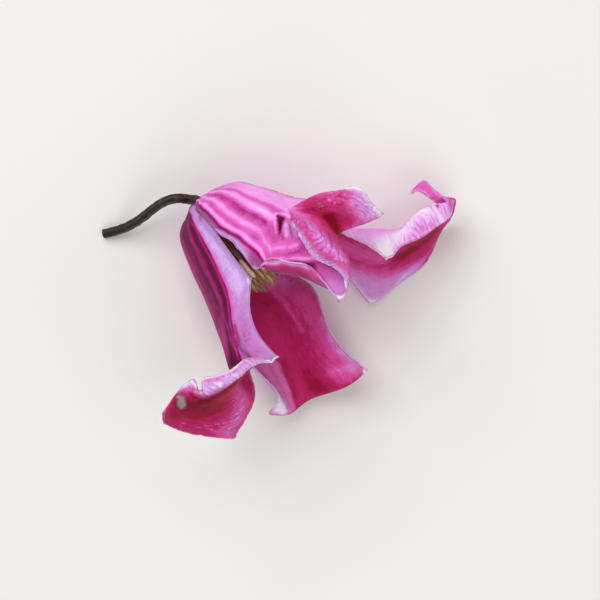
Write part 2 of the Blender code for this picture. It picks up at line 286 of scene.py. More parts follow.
# The living grain of a sepal or stalk. Lay is (distance along, distance across, face) in millimetres.
# Streaks run along it, fine folds run across it, and small cells cover both. Tone is about 0 in the middle.
def makeGrainGroup():
    tree, start, end = newGroup(
        "plantGrain",
        [("Lay", "NodeSocketVector")] + [(key, "NodeSocketFloat") for key in plantGrain],
        [("Tone", "NodeSocketFloat"), ("Height", "NodeSocketFloat")],
    )
    total = 0.0
    for key, (cells, detail, roughness) in plantGrain.items():
        pattern = addNoise(tree, addStretch(tree, start.outputs["Lay"], cells), detail, roughness)
        centred = addMath(tree, "SUBTRACT", pattern, 0.5)
        share = addMath(tree, "MULTIPLY", centred, start.outputs[key])
        total = addMath(tree, "ADD", share, total)
    tree.links.new(total, end.inputs["Tone"])
    tree.links.new(addMath(tree, "ADD", total, 0.5), end.inputs["Height"])
    return tree


sepalSkin = {
    "roughness": (0.45, 0.7),
    "bump": 0.06,  # mm
    "outside": ((0.0, "#fdc8fc"), (0.25, "#f69dec"), (0.5, "#e060bc"), (0.75, "#a81f76"), (1.0, "#660838")),
    "inside": ((0.0, "#dcaeea"), (0.2, "#d87fd0"), (0.4, "#d84c9a"), (0.6, "#b91f62"), (0.8, "#9a0f3a"),
               (1.0, "#780a22")),
    "cool": ((0.0, "#f0e6fa"), (0.25, "#d8b4ec"), (0.5, "#b78fd0"), (0.75, "#955b90"), (1.0, "#5e2f52")),
    "frost": "#faf0fb",
    "scar": ((0.0, "#8a2440"), (0.3, "#84505a"), (0.6, "#a38a88"), (1.0, "#8c6c6e")),
    "scarFrom": 0.15,  # a bruise shows above this much scar,
    "scarEdge": 5.0,  # and this steeply
    "ragged": 9.0,  # how far the grain breaks up frost and scars
    "sheen": 0.02,
    "sheenRoughness": 0.4,
    "specular": 0.13,
    "soft": 0.12,
    "softColour": (1.0, 0.35, 0.6),
    "softReach": 0.4,  # mm
}


# The skin of a sepal. The attribute tone runs along two ramps of colour, one for each face, after the grain
# has moved it a little. The attribute cool moves it to the bluish felt of the flat margins, frost whitens an
# edge, and scar browns a bruise.
def makeSepalMaterial(name, grains, grain):
    material, tree, shader = newMaterial(name)
    lay = readAttribute(tree, "lay", "Vector")
    detail = useGroup(tree, grain, Lay=lay, Streaks=grains[0], Folds=grains[1], Cells=grains[2])
    tone = addMath(tree, "ADD", readAttribute(tree, "tone"), detail.outputs["Tone"], clamp=True)
    outside = addRamp(tree, tone, sepalSkin["outside"])
    inside = addRamp(tree, tone, sepalSkin["inside"])
    colour = addMix(tree, readAttribute(tree, "outer"), inside, outside)
    colour = addMix(tree, readAttribute(tree, "cool"), colour, addRamp(tree, tone, sepalSkin["cool"]))
    ragged = addMath(tree, "MULTIPLY_ADD", detail.outputs["Tone"], sepalSkin["ragged"], 1.0)
    frost = addMath(tree, "MULTIPLY", readAttribute(tree, "frost"), ragged, clamp=True)
    colour = addMix(tree, frost, colour, hexColour(sepalSkin["frost"]))
    scar = addMath(tree, "MULTIPLY", readAttribute(tree, "scar"), ragged, clamp=True)
    above = addMath(tree, "SUBTRACT", scar, sepalSkin["scarFrom"])
    covered = addMath(tree, "MULTIPLY", above, sepalSkin["scarEdge"], clamp=True)
    colour = addMix(tree, covered, colour, addRamp(tree, scar, sepalSkin["scar"]))
    tree.links.new(colour, shader.inputs["Base Color"])
    shader.inputs["Sheen Roughness"].default_value = sepalSkin["sheenRoughness"]
    shader.inputs["Specular IOR Level"].default_value = sepalSkin["specular"]
    shader.inputs["Subsurface Weight"].default_value = sepalSkin["soft"]
    shader.inputs["Subsurface Radius"].default_value = sepalSkin["softColour"]
    shader.inputs["Subsurface Scale"].default_value = sepalSkin["softReach"] * mm
    finishSkin(tree, shader, detail.outputs["Height"], sepalSkin)
    return material


sheet = {
    "rows": 321,
    "columns": 131,
    "rimSteps": 4,
    "middle": 0.6,  # thickness along the midrib, mm
    "margin": 0.3,
    "bead": 0.12,  # the felted margin is this much thicker again
    "beadReach": 0.5,
    "beadFrom": (3, 8),  # it sets in between these two distances from the base, and so for each "From"
    "sway": (0.05, 3.5, 2.5),  # ribs and strokes waver: (size, length, breadth)
    "ripple": (0.045, 0.9, 3),  # of the margin: (height, length, breadth)
    "rippleReach": 1.2,
    "rippleFrom": (4, 14),
    "mottle": ((0.018, 2.6, 1.1, 31), (0.014, 0.7, 0.6, 32)),  # (tone, length, breadth, seed)
    "paleFrom": (4, 16),
    "felt": 0.14,  # white of the very edge
    "feltReach": 0.28,
    "feltFrom": (5, 14),
    "faceApart": 40.0,  # the grain of the outer face is this far from the inner one's, so that they differ
}

# Noise in the crinkles, each (size, length, breadth), the last two in crinkle spacings. Usual is the strength
# that the noise is added to, and level is the mean of a crinkle's |sin|, taken off it.
crimp = {
    "noise": ((0.28, 3, 2.6), (0.3, 2, 4), (0.2, 0.6, 2)),  # bend, strength, fine
    "usual": 0.75,
    "level": 0.64,
}


# The point of a sepal's smooth middle sheet at s millimetres from its base and v across it, from -1 to 1:
# spline weights along the rows x the net x spline weights across the rails.
def sheetAt(net, stations, s, v):
    along, across = splineWeights(stations, s.ravel()), splineWeights(rails, v.ravel())
    return laidDown(np.einsum("nr,nk,rkc->nc", along, across, net).reshape(*s.shape, 3))


# The unit normal of a grid of points: the cross product of its two directions.
def gridNormals(points):
    return unit(np.cross(np.gradient(points, axis=0), np.gradient(points, axis=1)))


# How far the margins are moved outwards, in millimetres: reach * exp(-|ds| / width) for each pointed corner,
# and reach * exp(-(ds / width)^4), a flatter hollow, where the reach is negative. Both times
# exp(-distance from the margin / fade).
def cornerShift(s, v, half, tips):
    shift = np.zeros_like(s)
    for place, side, reach, width, fade in tips:
        inward = (1 - side * v) * half
        shape = np.exp(-np.abs(s - place) / width) if reach > 0 else np.exp(-((s - place) / width) ** 4)
        shift += side * reach * shape * np.exp(-inward / fade)
    return shift


# A soft brush line through corners (s, v, reach): 1 on it, and exp(-(distance / reach)^2) beside it, in
# millimetres on the sheet. The reach changes evenly from corner to corner.
def brush(s, a, halfAt, path):
    corners = [(place, across * halfAt(place), reach) for place, across, reach in path]
    corners = corners if len(corners) > 1 else corners * 2
    line = np.zeros_like(s)
    for (s0, a0, reach0), (s1, a1, reach1) in zip(corners[:-1], corners[1:]):
        ds, da = s1 - s0, a1 - a0
        t = np.clip(((s - s0) * ds + (a - a0) * da) / max(ds * ds + da * da, 1e-9), 0, 1)
        gap = np.hypot(s - s0 - t * ds, a - a0 - t * da)
        line = np.maximum(line, np.exp(-((gap / (reach0 + t * (reach1 - reach0))) ** 2)))
    return line


# All of the sheet on one side of a line through corners (s, v), for the length of the line.
def beyond(s, v, half, side, soft, path):
    places, turns = zip(*path)
    distance = side * (v - np.interp(s, places, turns)) * half
    ends = easeBetween(s, places[0] - 1, places[0] + 1) * (1 - easeBetween(s, places[-1] - 1, places[-1] + 1))
    return easeBetween(distance, -soft, soft) * ends


# Crinkles, one after another in a direction: |sin| of a phase that soft noise bends, so that the crests are
# round and the creases sharp, and stronger in some places than in others.
def crinkle(s, a, spacing, heading, seed):
    turn = math.radians(heading)
    along, across = s * math.cos(turn) + a * math.sin(turn), a * math.cos(turn) - s * math.sin(turn)
    bend, strength, fine = (
        size * softNoise(along / (length * spacing), across / (breadth * spacing), seed + number)
        for number, (size, length, breadth) in enumerate(crimp["noise"])
    )
    wave = np.abs(np.sin(math.pi * (along / spacing + bend)))
    return (wave - crimp["level"] + fine) * (crimp["usual"] + strength)


# Everything that is drawn on a sheet, as one array for each kind: lift moves the whole thickness outwards and
# ridge only the outer face (mm); outer and inner darken each face; cool, frost and scar have a face each too.
def drawOn(sepal, s, v, a, half, inward):
    kinds = ("lift", "ridge", "outer", "inner", "coolOuter", "coolInner", "frostOuter", "frostInner",
             "scarOuter", "scarInner")
    drawn = {kind: np.zeros_like(s) for kind in kinds}
    size, length, breadth = sheet["sway"]
    sway = [size * softNoise(s / length, a / breadth, seed) for seed in (61, 62)]

    def halfAt(place):
        return float(np.interp(place, s[:, 0], half[:, 0]))

    for height, tone, path in sepal["ribs"]:
        line = brush(s + sway[0], a + sway[1], halfAt, path)
        drawn["ridge"] += height * line
        drawn["outer"] -= tone * line
    for kind, amount, path in sepal["strokes"]:
        drawn[kind] += amount * brush(s + sway[0], a + sway[1], halfAt, path)
    for kind, amount, side, soft, path in sepal["bands"]:
        drawn[kind] += amount * beyond(s, v, half, side, soft, path)
    for number, (depth, spacing, heading, path) in enumerate(sepal["crinkles"]):
        wave = crinkle(s, a, spacing, heading, 40 + 5 * number) * brush(s, a, halfAt, path)
        drawn["lift"] += depth * wave
        # painted light and shade: on the face where the crests stand, each crinkle's crest is made paler and
        # its crease darker
        drawn["outer" if depth > 0 else "inner"] -= sepal["crinkleShading"] * abs(depth) * wave
    size, length, breadth = sheet["ripple"]
    ripple = size * np.exp(-inward / sheet["rippleReach"]) * softNoise(s / length, a / breadth, 7)
    drawn["lift"] += ripple * easeBetween(s, *sheet["rippleFrom"])
    return drawn


# A sepal: the sheet with its corners, crinkles and marks, given a thickness that falls with |v|^3 from the
# midrib to the margin, plus the bead, and closed with a half round along its border.
def growSepal(sepal, material):
    net = np.array([np.asarray(row, float) for row in sepal["net"]])
    steps = np.linalg.norm(np.diff(net, axis=0), axis=2).mean(axis=1)
    stations = np.concatenate([[0], np.cumsum(steps)])
    length = stations[-1]
    rows, columns = sheet["rows"], sheet["columns"]
    s, v = np.meshgrid(np.linspace(0, length, rows), np.linspace(-1, 1, columns), indexing="ij")
    plain = sheetAt(net, stations, s, v)
    half = 0.5 * np.linalg.norm(np.diff(plain, axis=1), axis=2).sum(axis=1)[:, None]
    inward = (1 - np.abs(v)) * half
    v = v + cornerShift(s, v, half, sepal["tips"]) / half
    a = v * half  # distance across from the midrib, mm
    drawn = drawOn(sepal, s, v, a, half, inward)
    points = sheetAt(net, stations, s, v)
    points = points + (sepal["outside"] * drawn["lift"])[..., None] * gridNormals(points)

    # two faces, and a round margin between them
    normal = sepal["outside"] * gridNormals(points)
    bead = sheet["bead"] * np.exp(-((inward / sheet["beadReach"]) ** 2)) * easeBetween(s, *sheet["beadFrom"])
    wall = sheet["margin"] + (sheet["middle"] - sheet["margin"]) * (1 - np.clip(np.abs(v), 0, 1) ** 3) + bead
    outer = points + (0.5 * wall + drawn["ridge"])[..., None] * normal
    inner = points - (0.5 * wall)[..., None] * normal
    loop = borderLoop(rows, columns)
    away = outwardAt(points).reshape(-1, 3)[loop]
    top, bottom = outer.reshape(-1, 3)[loop], inner.reshape(-1, 3)[loop]
    turn = np.pi * np.arange(1, sheet["rimSteps"]) / sheet["rimSteps"]
    middle, reach = 0.5 * (top + bottom), 0.5 * (top - bottom)
    size = np.linalg.norm(reach, axis=1, keepdims=True)
    rim = [middle + math.cos(t) * reach + math.sin(t) * size * away for t in turn]
    attributes = {}
    for key, (outerValue, innerValue) in sepalMasks(sepal, s, a, inward, length, drawn).items():
        outerFlat = outerValue.reshape(rows * columns, -1)
        innerFlat = innerValue.reshape(rows * columns, -1)
        between = [outerFlat[loop] * w + innerFlat[loop] * (1 - w) for w in 0.5 + 0.5 * np.cos(turn)]
        attributes[key] = np.concatenate([outerFlat, innerFlat, *between]).squeeze()
    allPoints = np.concatenate([outer.reshape(-1, 3), inner.reshape(-1, 3), *rim])
    faces = skinFaces(rows, columns, loop, len(turn), sepal["outside"])
    piece = fillMesh(sepal["piece"], allPoints, [faces], material, attributes)
    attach(piece, "root")
    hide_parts(sepal["node"])
    print(sepal["piece"], "grown,", round(length, 1), "mm long")


# The border points of a grid, once round.
def borderLoop(rows, columns):
    index = np.arange(rows * columns).reshape(rows, columns)
    return np.concatenate([index[0, :-1], index[:-1, -1], index[-1, :0:-1], index[:0:-1, 0]])


# The direction away from the sheet, in its plane, at each point: it counts only on the border.
def outwardAt(points):
    lengthwise, crosswise = unit(np.gradient(points, axis=0)), unit(np.gradient(points, axis=1))
    away = np.zeros_like(points)
    away[0] -= lengthwise[0]
    away[-1] += lengthwise[-1]
    away[:, 0] -= crosswise[:, 0]
    away[:, -1] += crosswise[:, -1]
    return unit(away)


# Quads of both faces and of the strips that go round the margin between them.
def skinFaces(rows, columns, loop, strips, outside):
    count = rows * columns
    grid = gridFaces(rows, columns)
    front = grid[:, ::-1] if outside > 0 else grid
    back = front[:, ::-1] + count
    between = [2 * count + k * len(loop) + np.arange(len(loop)) for k in range(strips)]
    rings = [loop, *between, loop + count]
    sides = []
    for first, second in zip(rings[:-1], rings[1:]):
        ends = [first, np.roll(first, -1), np.roll(second, -1), second]
        strip = np.stack(ends, axis=-1)
        sides.append(strip[:, ::-1] if outside > 0 else strip)
    return np.concatenate([front, back, *sides])


def limited(values):
    return np.clip(values, 0, 1)


# The masks that colour a sepal, each as (outer face, inner face): tone, cool, frost, scar, outer and lay.
# Paleness and felt fall off from the margin as exp(-distance / reach) and exp(-(distance / reach)^2).
def sepalMasks(sepal, s, a, inward, length, drawn):
    mottle = sum(size * softNoise(s / long, a / broad, seed) for size, long, broad, seed in sheet["mottle"])
    outerTone = sepal["outerTone"] + drawn["outer"] + mottle
    innerTone = sepal["innerTone"] + drawn["inner"] + mottle
    pale = sepal["paleRim"] * np.exp(-inward / sepal["paleReach"]) * easeBetween(s, *sheet["paleFrom"])
    toEnd = np.minimum(inward, length - s)
    felt = sheet["felt"] * np.exp(-((toEnd / sheet["feltReach"]) ** 2)) * easeBetween(s, *sheet["feltFrom"])
    lays = [np.stack([s, a, np.full_like(s, apart)], axis=-1) for apart in (sheet["faceApart"], 0.0)]
    return {
        "tone": (limited(outerTone - 0.5 * pale), limited(innerTone - pale)),
        "cool": (limited(drawn["coolOuter"]), limited(drawn["coolInner"])),
        "frost": (limited(felt + drawn["frostOuter"]), limited(felt + drawn["frostInner"])),
        "scar": (limited(drawn["scarOuter"]), limited(drawn["scarInner"])),
        "outer": (np.ones_like(s), np.zeros_like(s)),
        "lay": lays,
    }


# Each sepal: a net of rows from its base to its tip, each with one point on each rail. Places on it are
# (s, v): millimetres from the base and -1 to 1 across. A pointed corner or hollow is (s, side, reach, width,
# fade). Paths run through corners (s, v, reach), or (s, v) for a band. A rib is (height, tone, path), and a
# stroke is (kind, amount, path). A band is (kind, amount, side, softness, path). A crinkled place is (depth,
# spacing, heading, path), and its depth is negative where the crests stand on the inner face.

# lines that more than one mark of the front upper sepal follows
creaseStart = ((1.5, -0.7, 0.25), (6.5, -0.83, 0.3), (12, -0.87, 0.32), (18, -0.88, 0.32), (22.4, -0.76, 0.4))
slitMargin = ((12, -1, 0.4), (16.5, -1, 0.7), (19, -1, 0.9))
lipMargin = ((22, -1, 0.5), (28, -1, 0.6), (33.1, -1, 0.6))
lipEnd = ((33.5, -0.75, 1.4), (37, -0.75, 2.0), (40, -0.75, 2.0))
lobeEdge = ((46, 0.7, 2.4), (42, 0.75, 2.4))
feltEdge = ((0.5, -0.72), (6.5, -0.85), (12, -0.9), (18, -0.93), (22.4, -0.8), (24.5, -0.75))

frontUpper = {
    "piece": "frontUpperSepal",
    "node": "sepal_front_upper",
    "slot": "sepal_upper",
    "outside": 1,
    "net": [
        bellRow(0, -8, 80),
        bellRow(1.2, -16, 83),
        bellRow(2.4, -10, 84),
        bellRow(5, -7.5, 85),
        bellRow(8.5, -4.6, 86),
        bellRow(12, 0.8, 87),
        [(-4.4, 8.0, 11.0), (-3.6, 10.2, 12.2), (-2.0, 13.2, 12.2), (1.8, 17.4, 11.4), (4.4, 20.3, 9.2),
         (5.3, 21.8, 6.2), (4.6, 22.0, 3.2)],
        [(-2.0, 9.8, 13.2), (-1.6, 7.8, 11.8), (-0.2, 10.5, 12.4), (4.4, 15.6, 13.6), (7.2, 19.0, 12.4),
         (7.8, 21.0, 9.4), (6.2, 21.4, 6.0)],
        [(3.0, 9.1, 14.6), (4.0, 6.7, 12.6), (5.0, 9.8, 12.6), (8.4, 15.0, 13.4), (11.8, 18.2, 12.4),
         (13.4, 20.0, 10.4), (11.6, 20.4, 7.5)],
        [(7.4, 7.4, 15.0), (9.0, 4.6, 13.4), (10.0, 9.2, 13.6), (10.8, 14.4, 13.7), (14.2, 16.9, 13.3),
         (16.9, 18.1, 12.2), (17.2, 18.6, 10.2)],
        [(12.7, 2.3, 14.7), (13.4, 4.2, 15.0), (13.8, 9.4, 15.8), (11.6, 14.4, 14.8), (14.8, 16.4, 15.6),
         (18.2, 17.6, 15.0), (20.2, 18.6, 13.6)],
        [(13.4, 5.4, 16.6), (14.0, 6.8, 17.4), (13.6, 9.9, 17.2), (11.1, 15.1, 15.6), (14.3, 17.1, 16.9),
         (17.7, 18.8, 16.5), (19.6, 20.2, 15.1)],
        [(7.6, 10.0, 17.6), (8.8, 10.6, 18.8), (9.8, 12.4, 19.6), (8.4, 17.4, 17.0), (11.4, 19.6, 19.0),
         (14.4, 22.0, 18.6), (15.2, 24.1, 17.0)],
        [(5.0, 13.6, 17.8), (5.6, 14.4, 18.8), (6.2, 15.6, 19.4), (5.4, 18.6, 17.8), (7.4, 20.2, 19.0),
         (10.2, 21.8, 18.6), (11.6, 23.3, 17.2)],
        [(3.0, 16.6, 17.8), (3.2, 17.4, 18.6), (3.2, 18.2, 19.0), (2.8, 19.4, 18.6), (4.2, 20.6, 19.0),
         (6.2, 21.7, 18.4), (7.8, 22.6, 17.0)],
        [(2.6, 17.6, 16.0), (2.7, 17.9, 16.0), (2.9, 18.3, 16.0), (3.2, 18.9, 15.8), (3.6, 19.5, 15.8),
         (4.0, 20.0, 15.8), (4.4, 20.4, 15.8)],
    ],
    "tips": ((17.8, -1, 0.3, 0.6, 1.2), (39.4, -1, 1.4, 0.5, 1.8), (39.7, 1, 0.9, 0.6, 1.2),
             (43.2, 1, -0.4, 1.8, 1.6), (41.7, -1, 0.5, 0.5, 1.2)),
    "ribs": (
        (0.16, 0.3, ((1.5, 0.32, 0.4), (5, 0.04, 0.7), (9, -0.02, 1.0), (13.6, -0.08, 1.1),
                     (18, -0.17, 1.0))),
        (0.16, 0.3, ((1.2, -0.14, 0.4), (6.5, -0.42, 0.7), (11, -0.5, 0.8), (16, -0.56, 0.8),
                     (21.5, -0.5, 1.0), (28, -0.25, 0.9))),
        (0.26, 0.32, ((0.5, -0.62, 0.4), (6.5, -0.69, 0.5), (10.5, -0.745, 0.55), (15, -0.77, 0.55),
                      (19, -0.785, 0.6), (23, -0.66, 0.6), (27, -0.46, 0.6), (33.1, -0.42, 0.5))),
        (0.12, 0.1, ((2.5, 0.85, 0.5), (12.5, 0.68, 1.5), (19, 0.64, 1.6), (30, 0.6, 1.4))),
        (0.1, 0.14, ((4.5, 0.27, 0.3), (10, 0.32, 0.7), (14, 0.26, 0.8), (18, 0.17, 0.8), (22, 0.12, 0.5))),
    ),
    "strokes": (
        ("outer", -0.2, ((4, 0.6, 1.5), (10, 0.5, 3.0), (19, 0.5, 3.4), (28, 0.6, 3.0))),
        ("outer", -0.16, ((11, 0.5, 3.0), (16, 0.42, 3.6), (20, 0.35, 3.4))),
        ("outer", -0.16, ((13, -0.1, 0.7), (18, -0.17, 0.9), (21, -0.16, 0.7))),
        ("outer", 0.08, ((4, 0.14, 0.3), (9, 0.15, 0.4), (14.5, 0.1, 0.4), (18.7, 0.03, 0.4))),
        ("outer", 0.12, ((3, -0.14, 0.4), (9, -0.22, 0.7), (14, -0.3, 0.8), (18, -0.34, 0.7))),
        ("outer", 0.08, ((3, -0.48, 0.4), (8, -0.6, 0.5), (14, -0.66, 0.4))),
        # painted shade: the dark line in the crease under the lowest rib, running on to the lip
        ("outer", 0.36, (*creaseStart, (27, -0.56, 0.6), (33.1, -0.5, 0.5))),
        ("ridge", -0.08, creaseStart),
        ("outer", 0.08, ((19, -0.6, 1.2), (24, -0.4, 1.6), (29, -0.32, 1.2))),
        # The tear: painted shade darkens the pit where the sheet is pressed in, the crumpled ridges beside it
        # are lifted and made paler as a painted highlight, and painted shadow darkens the narrow lines
        # between them. The scar is the bruise's own colour.
        ("lift", -0.9, ((20.2, -0.05, 0.7), (21.5, -0.12, 0.45), (22.9, -0.19, 0.2))),
        ("scarOuter", 0.24, ((19.6, -0.04, 0.4), (21.2, -0.1, 0.4))),
        ("outer", 1.2, ((19.4, -0.055, 0.35), (21.1, -0.01, 0.35))),
        ("outer", 1.2, ((20.4, -0.06, 0.75), (21.7, -0.13, 0.5), (23.1, -0.2, 0.2))),
        ("lift", 0.12, ((18.5, -0.1, 0.25), (20.2, -0.175, 0.3), (22.4, -0.24, 0.25))),
        ("outer", -0.2, ((18.5, -0.1, 0.15), (20.2, -0.18, 0.2), (22.4, -0.245, 0.16))),
        ("lift", 0.24, ((18.4, -0.06, 0.25), (19.4, 0.02, 0.3), (21.4, 0.07, 0.35), (23.6, 0.12, 0.4))),
        ("outer", -0.3, ((18.4, -0.06, 0.18), (19.4, 0.03, 0.22), (21.4, 0.075, 0.28), (23.6, 0.12, 0.35))),
        ("lift", 0.2, ((22.9, -0.06, 0.4), (24.0, -0.12, 0.45), (25.0, -0.17, 0.3))),
        ("outer", -0.26, ((22.7, -0.05, 0.3), (24.0, -0.12, 0.36), (25.0, -0.17, 0.25))),
        ("outer", 0.14, ((23.5, -0.03, 0.18), (24.8, -0.09, 0.2), (26.0, -0.14, 0.15))),
        ("lift", 0.16, ((24.0, 0.03, 0.4), (25.2, -0.03, 0.45), (26.6, -0.1, 0.3))),
        ("outer", -0.2, ((24.0, 0.03, 0.3), (25.2, -0.03, 0.34), (26.6, -0.1, 0.25))),
        ("outer", 0.12, ((24.7, 0.06, 0.16), (26.0, 0.01, 0.2), (27.4, -0.05, 0.15))),
        ("coolOuter", 0.45, ((23.2, -0.06, 0.9), (25.6, -0.06, 1.4))),
        ("outer", -0.26, slitMargin),
        ("coolOuter", 0.3, slitMargin),
        # painted light: the hollow of the outer face under the tongue, at the lip's end, is made paler
        # against its shade
        ("outer", -0.12, lipEnd),
        ("coolOuter", 0.5, lipEnd),
        ("inner", 0.2, ((27, -0.8, 1.2), (33, -0.8, 1.4), (38, -0.8, 1.4))),
        ("coolOuter", 0.5, lipMargin),
        ("outer", -0.3, lipMargin),
        ("coolInner", 0.5, ((27, -0.8, 1.2), (31, -0.8, 1.4), (35.5, -0.75, 1.8), (39.0, -0.8, 2.0))),
        ("coolOuter", 0.3, ((33.1, -0.9, 1.6), (37.3, -0.95, 1.6))),
        ("coolInner", 0.6, ((24, -1, 0.3), (29, -1, 0.35), (34.1, -1, 0.4))),
        ("inner", -0.2, ((24, -1, 0.3), (29, -1, 0.4), (34.1, -1, 0.4))),
        ("inner", 0.16, ((25, -0.9, 0.7), (29, -0.88, 0.8), (33.1, -0.88, 0.7))),
        ("coolOuter", 0.6, ((37.6, -1, 0.5), (39.5, -1, 0.9), (40.6, -1, 0.5))),
        ("frostOuter", 0.9, ((38.9, -1, 0.4), (39.5, -1, 0.7), (40.1, -1, 0.4))),
        ("frostInner", 0.7, ((38.9, -1, 0.3), (39.5, -1, 0.5), (40.1, -1, 0.3))),
        ("inner", 0.26, ((39.9, -0.3, 1.4), (39.0, 0.08, 1.6), (43.5, 0.15, 1.8), (46.6, 0.24, 1.8))),
        ("inner", 0.36, ((39.9, 0.1, 1.3), (43.5, 0.16, 1.3), (46.4, 0.24, 1.0))),
        ("inner", 0.16, ((46.9, 0.24, 2.4), (49.9, 0.32, 2.4), (52.9, 0.4, 2.0))),
        ("inner", 0.2, ((48.1, 0.62, 1.2), (44.9, 0.5, 1.4), (43.0, 0.46, 1.4))),
        ("inner", -0.18, ((44.7, 0.84, 2.4), (41.0, 0.85, 2.2))),
        ("inner", -0.24, ((54.9, 0.1, 1.8), (51.9, -0.2, 1.8), (47.9, -0.42, 2.2), (44.2, -0.5, 2.0))),
        ("coolInner", 0.75, ((55.4, -0.9, 0.9), (50.9, -0.92, 1.1), (46.9, -0.92, 1.3), (42.0, -0.92, 1.6))),
        ("inner", -0.1, ((55.4, -0.95, 0.8), (50.9, -0.95, 1.1), (46.9, -0.95, 1.3), (42.0, -0.95, 1.6))),
        ("coolInner", 0.22, lobeEdge),
        ("inner", -0.08, lobeEdge),
        ("coolInner", 0.35, ((45.8, 0.98, 0.8), (42.6, 0.97, 1.2), (40.0, 0.9, 1.4))),
        ("frostInner", 0.85, ((50.4, 1, 0.2), (47.4, 1, 0.5), (45.8, 1, 0.5), (42.6, 1, 0.5),
                              (39.8, 1, 0.7))),
        ("inner", -0.16, ((48.9, 0.98, 0.6), (45.8, 0.95, 1.1), (41.5, 0.95, 1.2))),
        ("frostInner", 0.7, ((41.8, -1, 0.3), (41.3, -0.98, 0.3))),
        ("inner", 0.16, ((52.2, 0.56, 0.7), (49.9, 0.44, 0.7))),
        ("scarInner", 0.5, ((52.1, 0.58, 0.3), (51.1, 0.55, 0.4))),
        ("scarInner", 0.36, ((51.2, 0.47, 0.35), (50.4, 0.5, 0.3))),
        ("scarInner", 0.3, ((49.9, 0.43, 0.3), (49.5, 0.39, 0.2))),
        ("scarInner", -0.4, ((51.6, 0.52, 0.14), (50.7, 0.56, 0.14))),
    ),
    "bands": (
        ("coolOuter", 0.66, -1, 0.18, feltEdge),
        ("outer", 0.14, -1, 0.3, feltEdge),
    ),
    "crinkles": (
        (-0.3, 0.8, 0, ((56.5, -0.95, 0.7), (51, -0.95, 0.8), (45, -0.95, 0.8))),
        (-0.3, 1.0, 20, ((55.4, -0.65, 1.6), (50.9, -0.5, 2.2), (46.9, -0.5, 2.6), (43.1, -0.55, 2.4))),
        (-0.2, 0.8, 10, ((54.9, -0.9, 1.0), (48.9, -0.9, 1.4), (42.6, -0.9, 1.8))),
        (-0.34, 0.75, 78, ((50.9, 0.75, 1.8), (46.9, 0.78, 2.6), (43.1, 0.8, 2.8), (41.0, 0.85, 2.0))),
        (-0.14, 1.3, 40, ((54.4, 0.5, 2.0), (50.9, 0.6, 2.4))),
        (-0.08, 1.5, 100, ((53.9, 0.2, 2.0), (50.9, 0.25, 2.4))),
        (0.04, 0.7, 0, ((14, -0.5, 3.0), (22, -0.45, 4.0), (32.0, -0.3, 3.0))),
    ),
    "crinkleShading": 0.9,
    "outerTone": 0.59,
    "innerTone": 0.48,
    "paleRim": 0.1,
    "paleReach": 0.9,
    "grains": (0.05, 0.06, 0.1),
}

# the dark groove beside the front lower sepal's midrib
groove = ((4, -0.6, 0.4), (8, -0.48, 0.5), (15, -0.43, 0.5), (22, -0.33, 0.5), (30, -0.24, 0.6),
          (37, -0.16, 0.6))

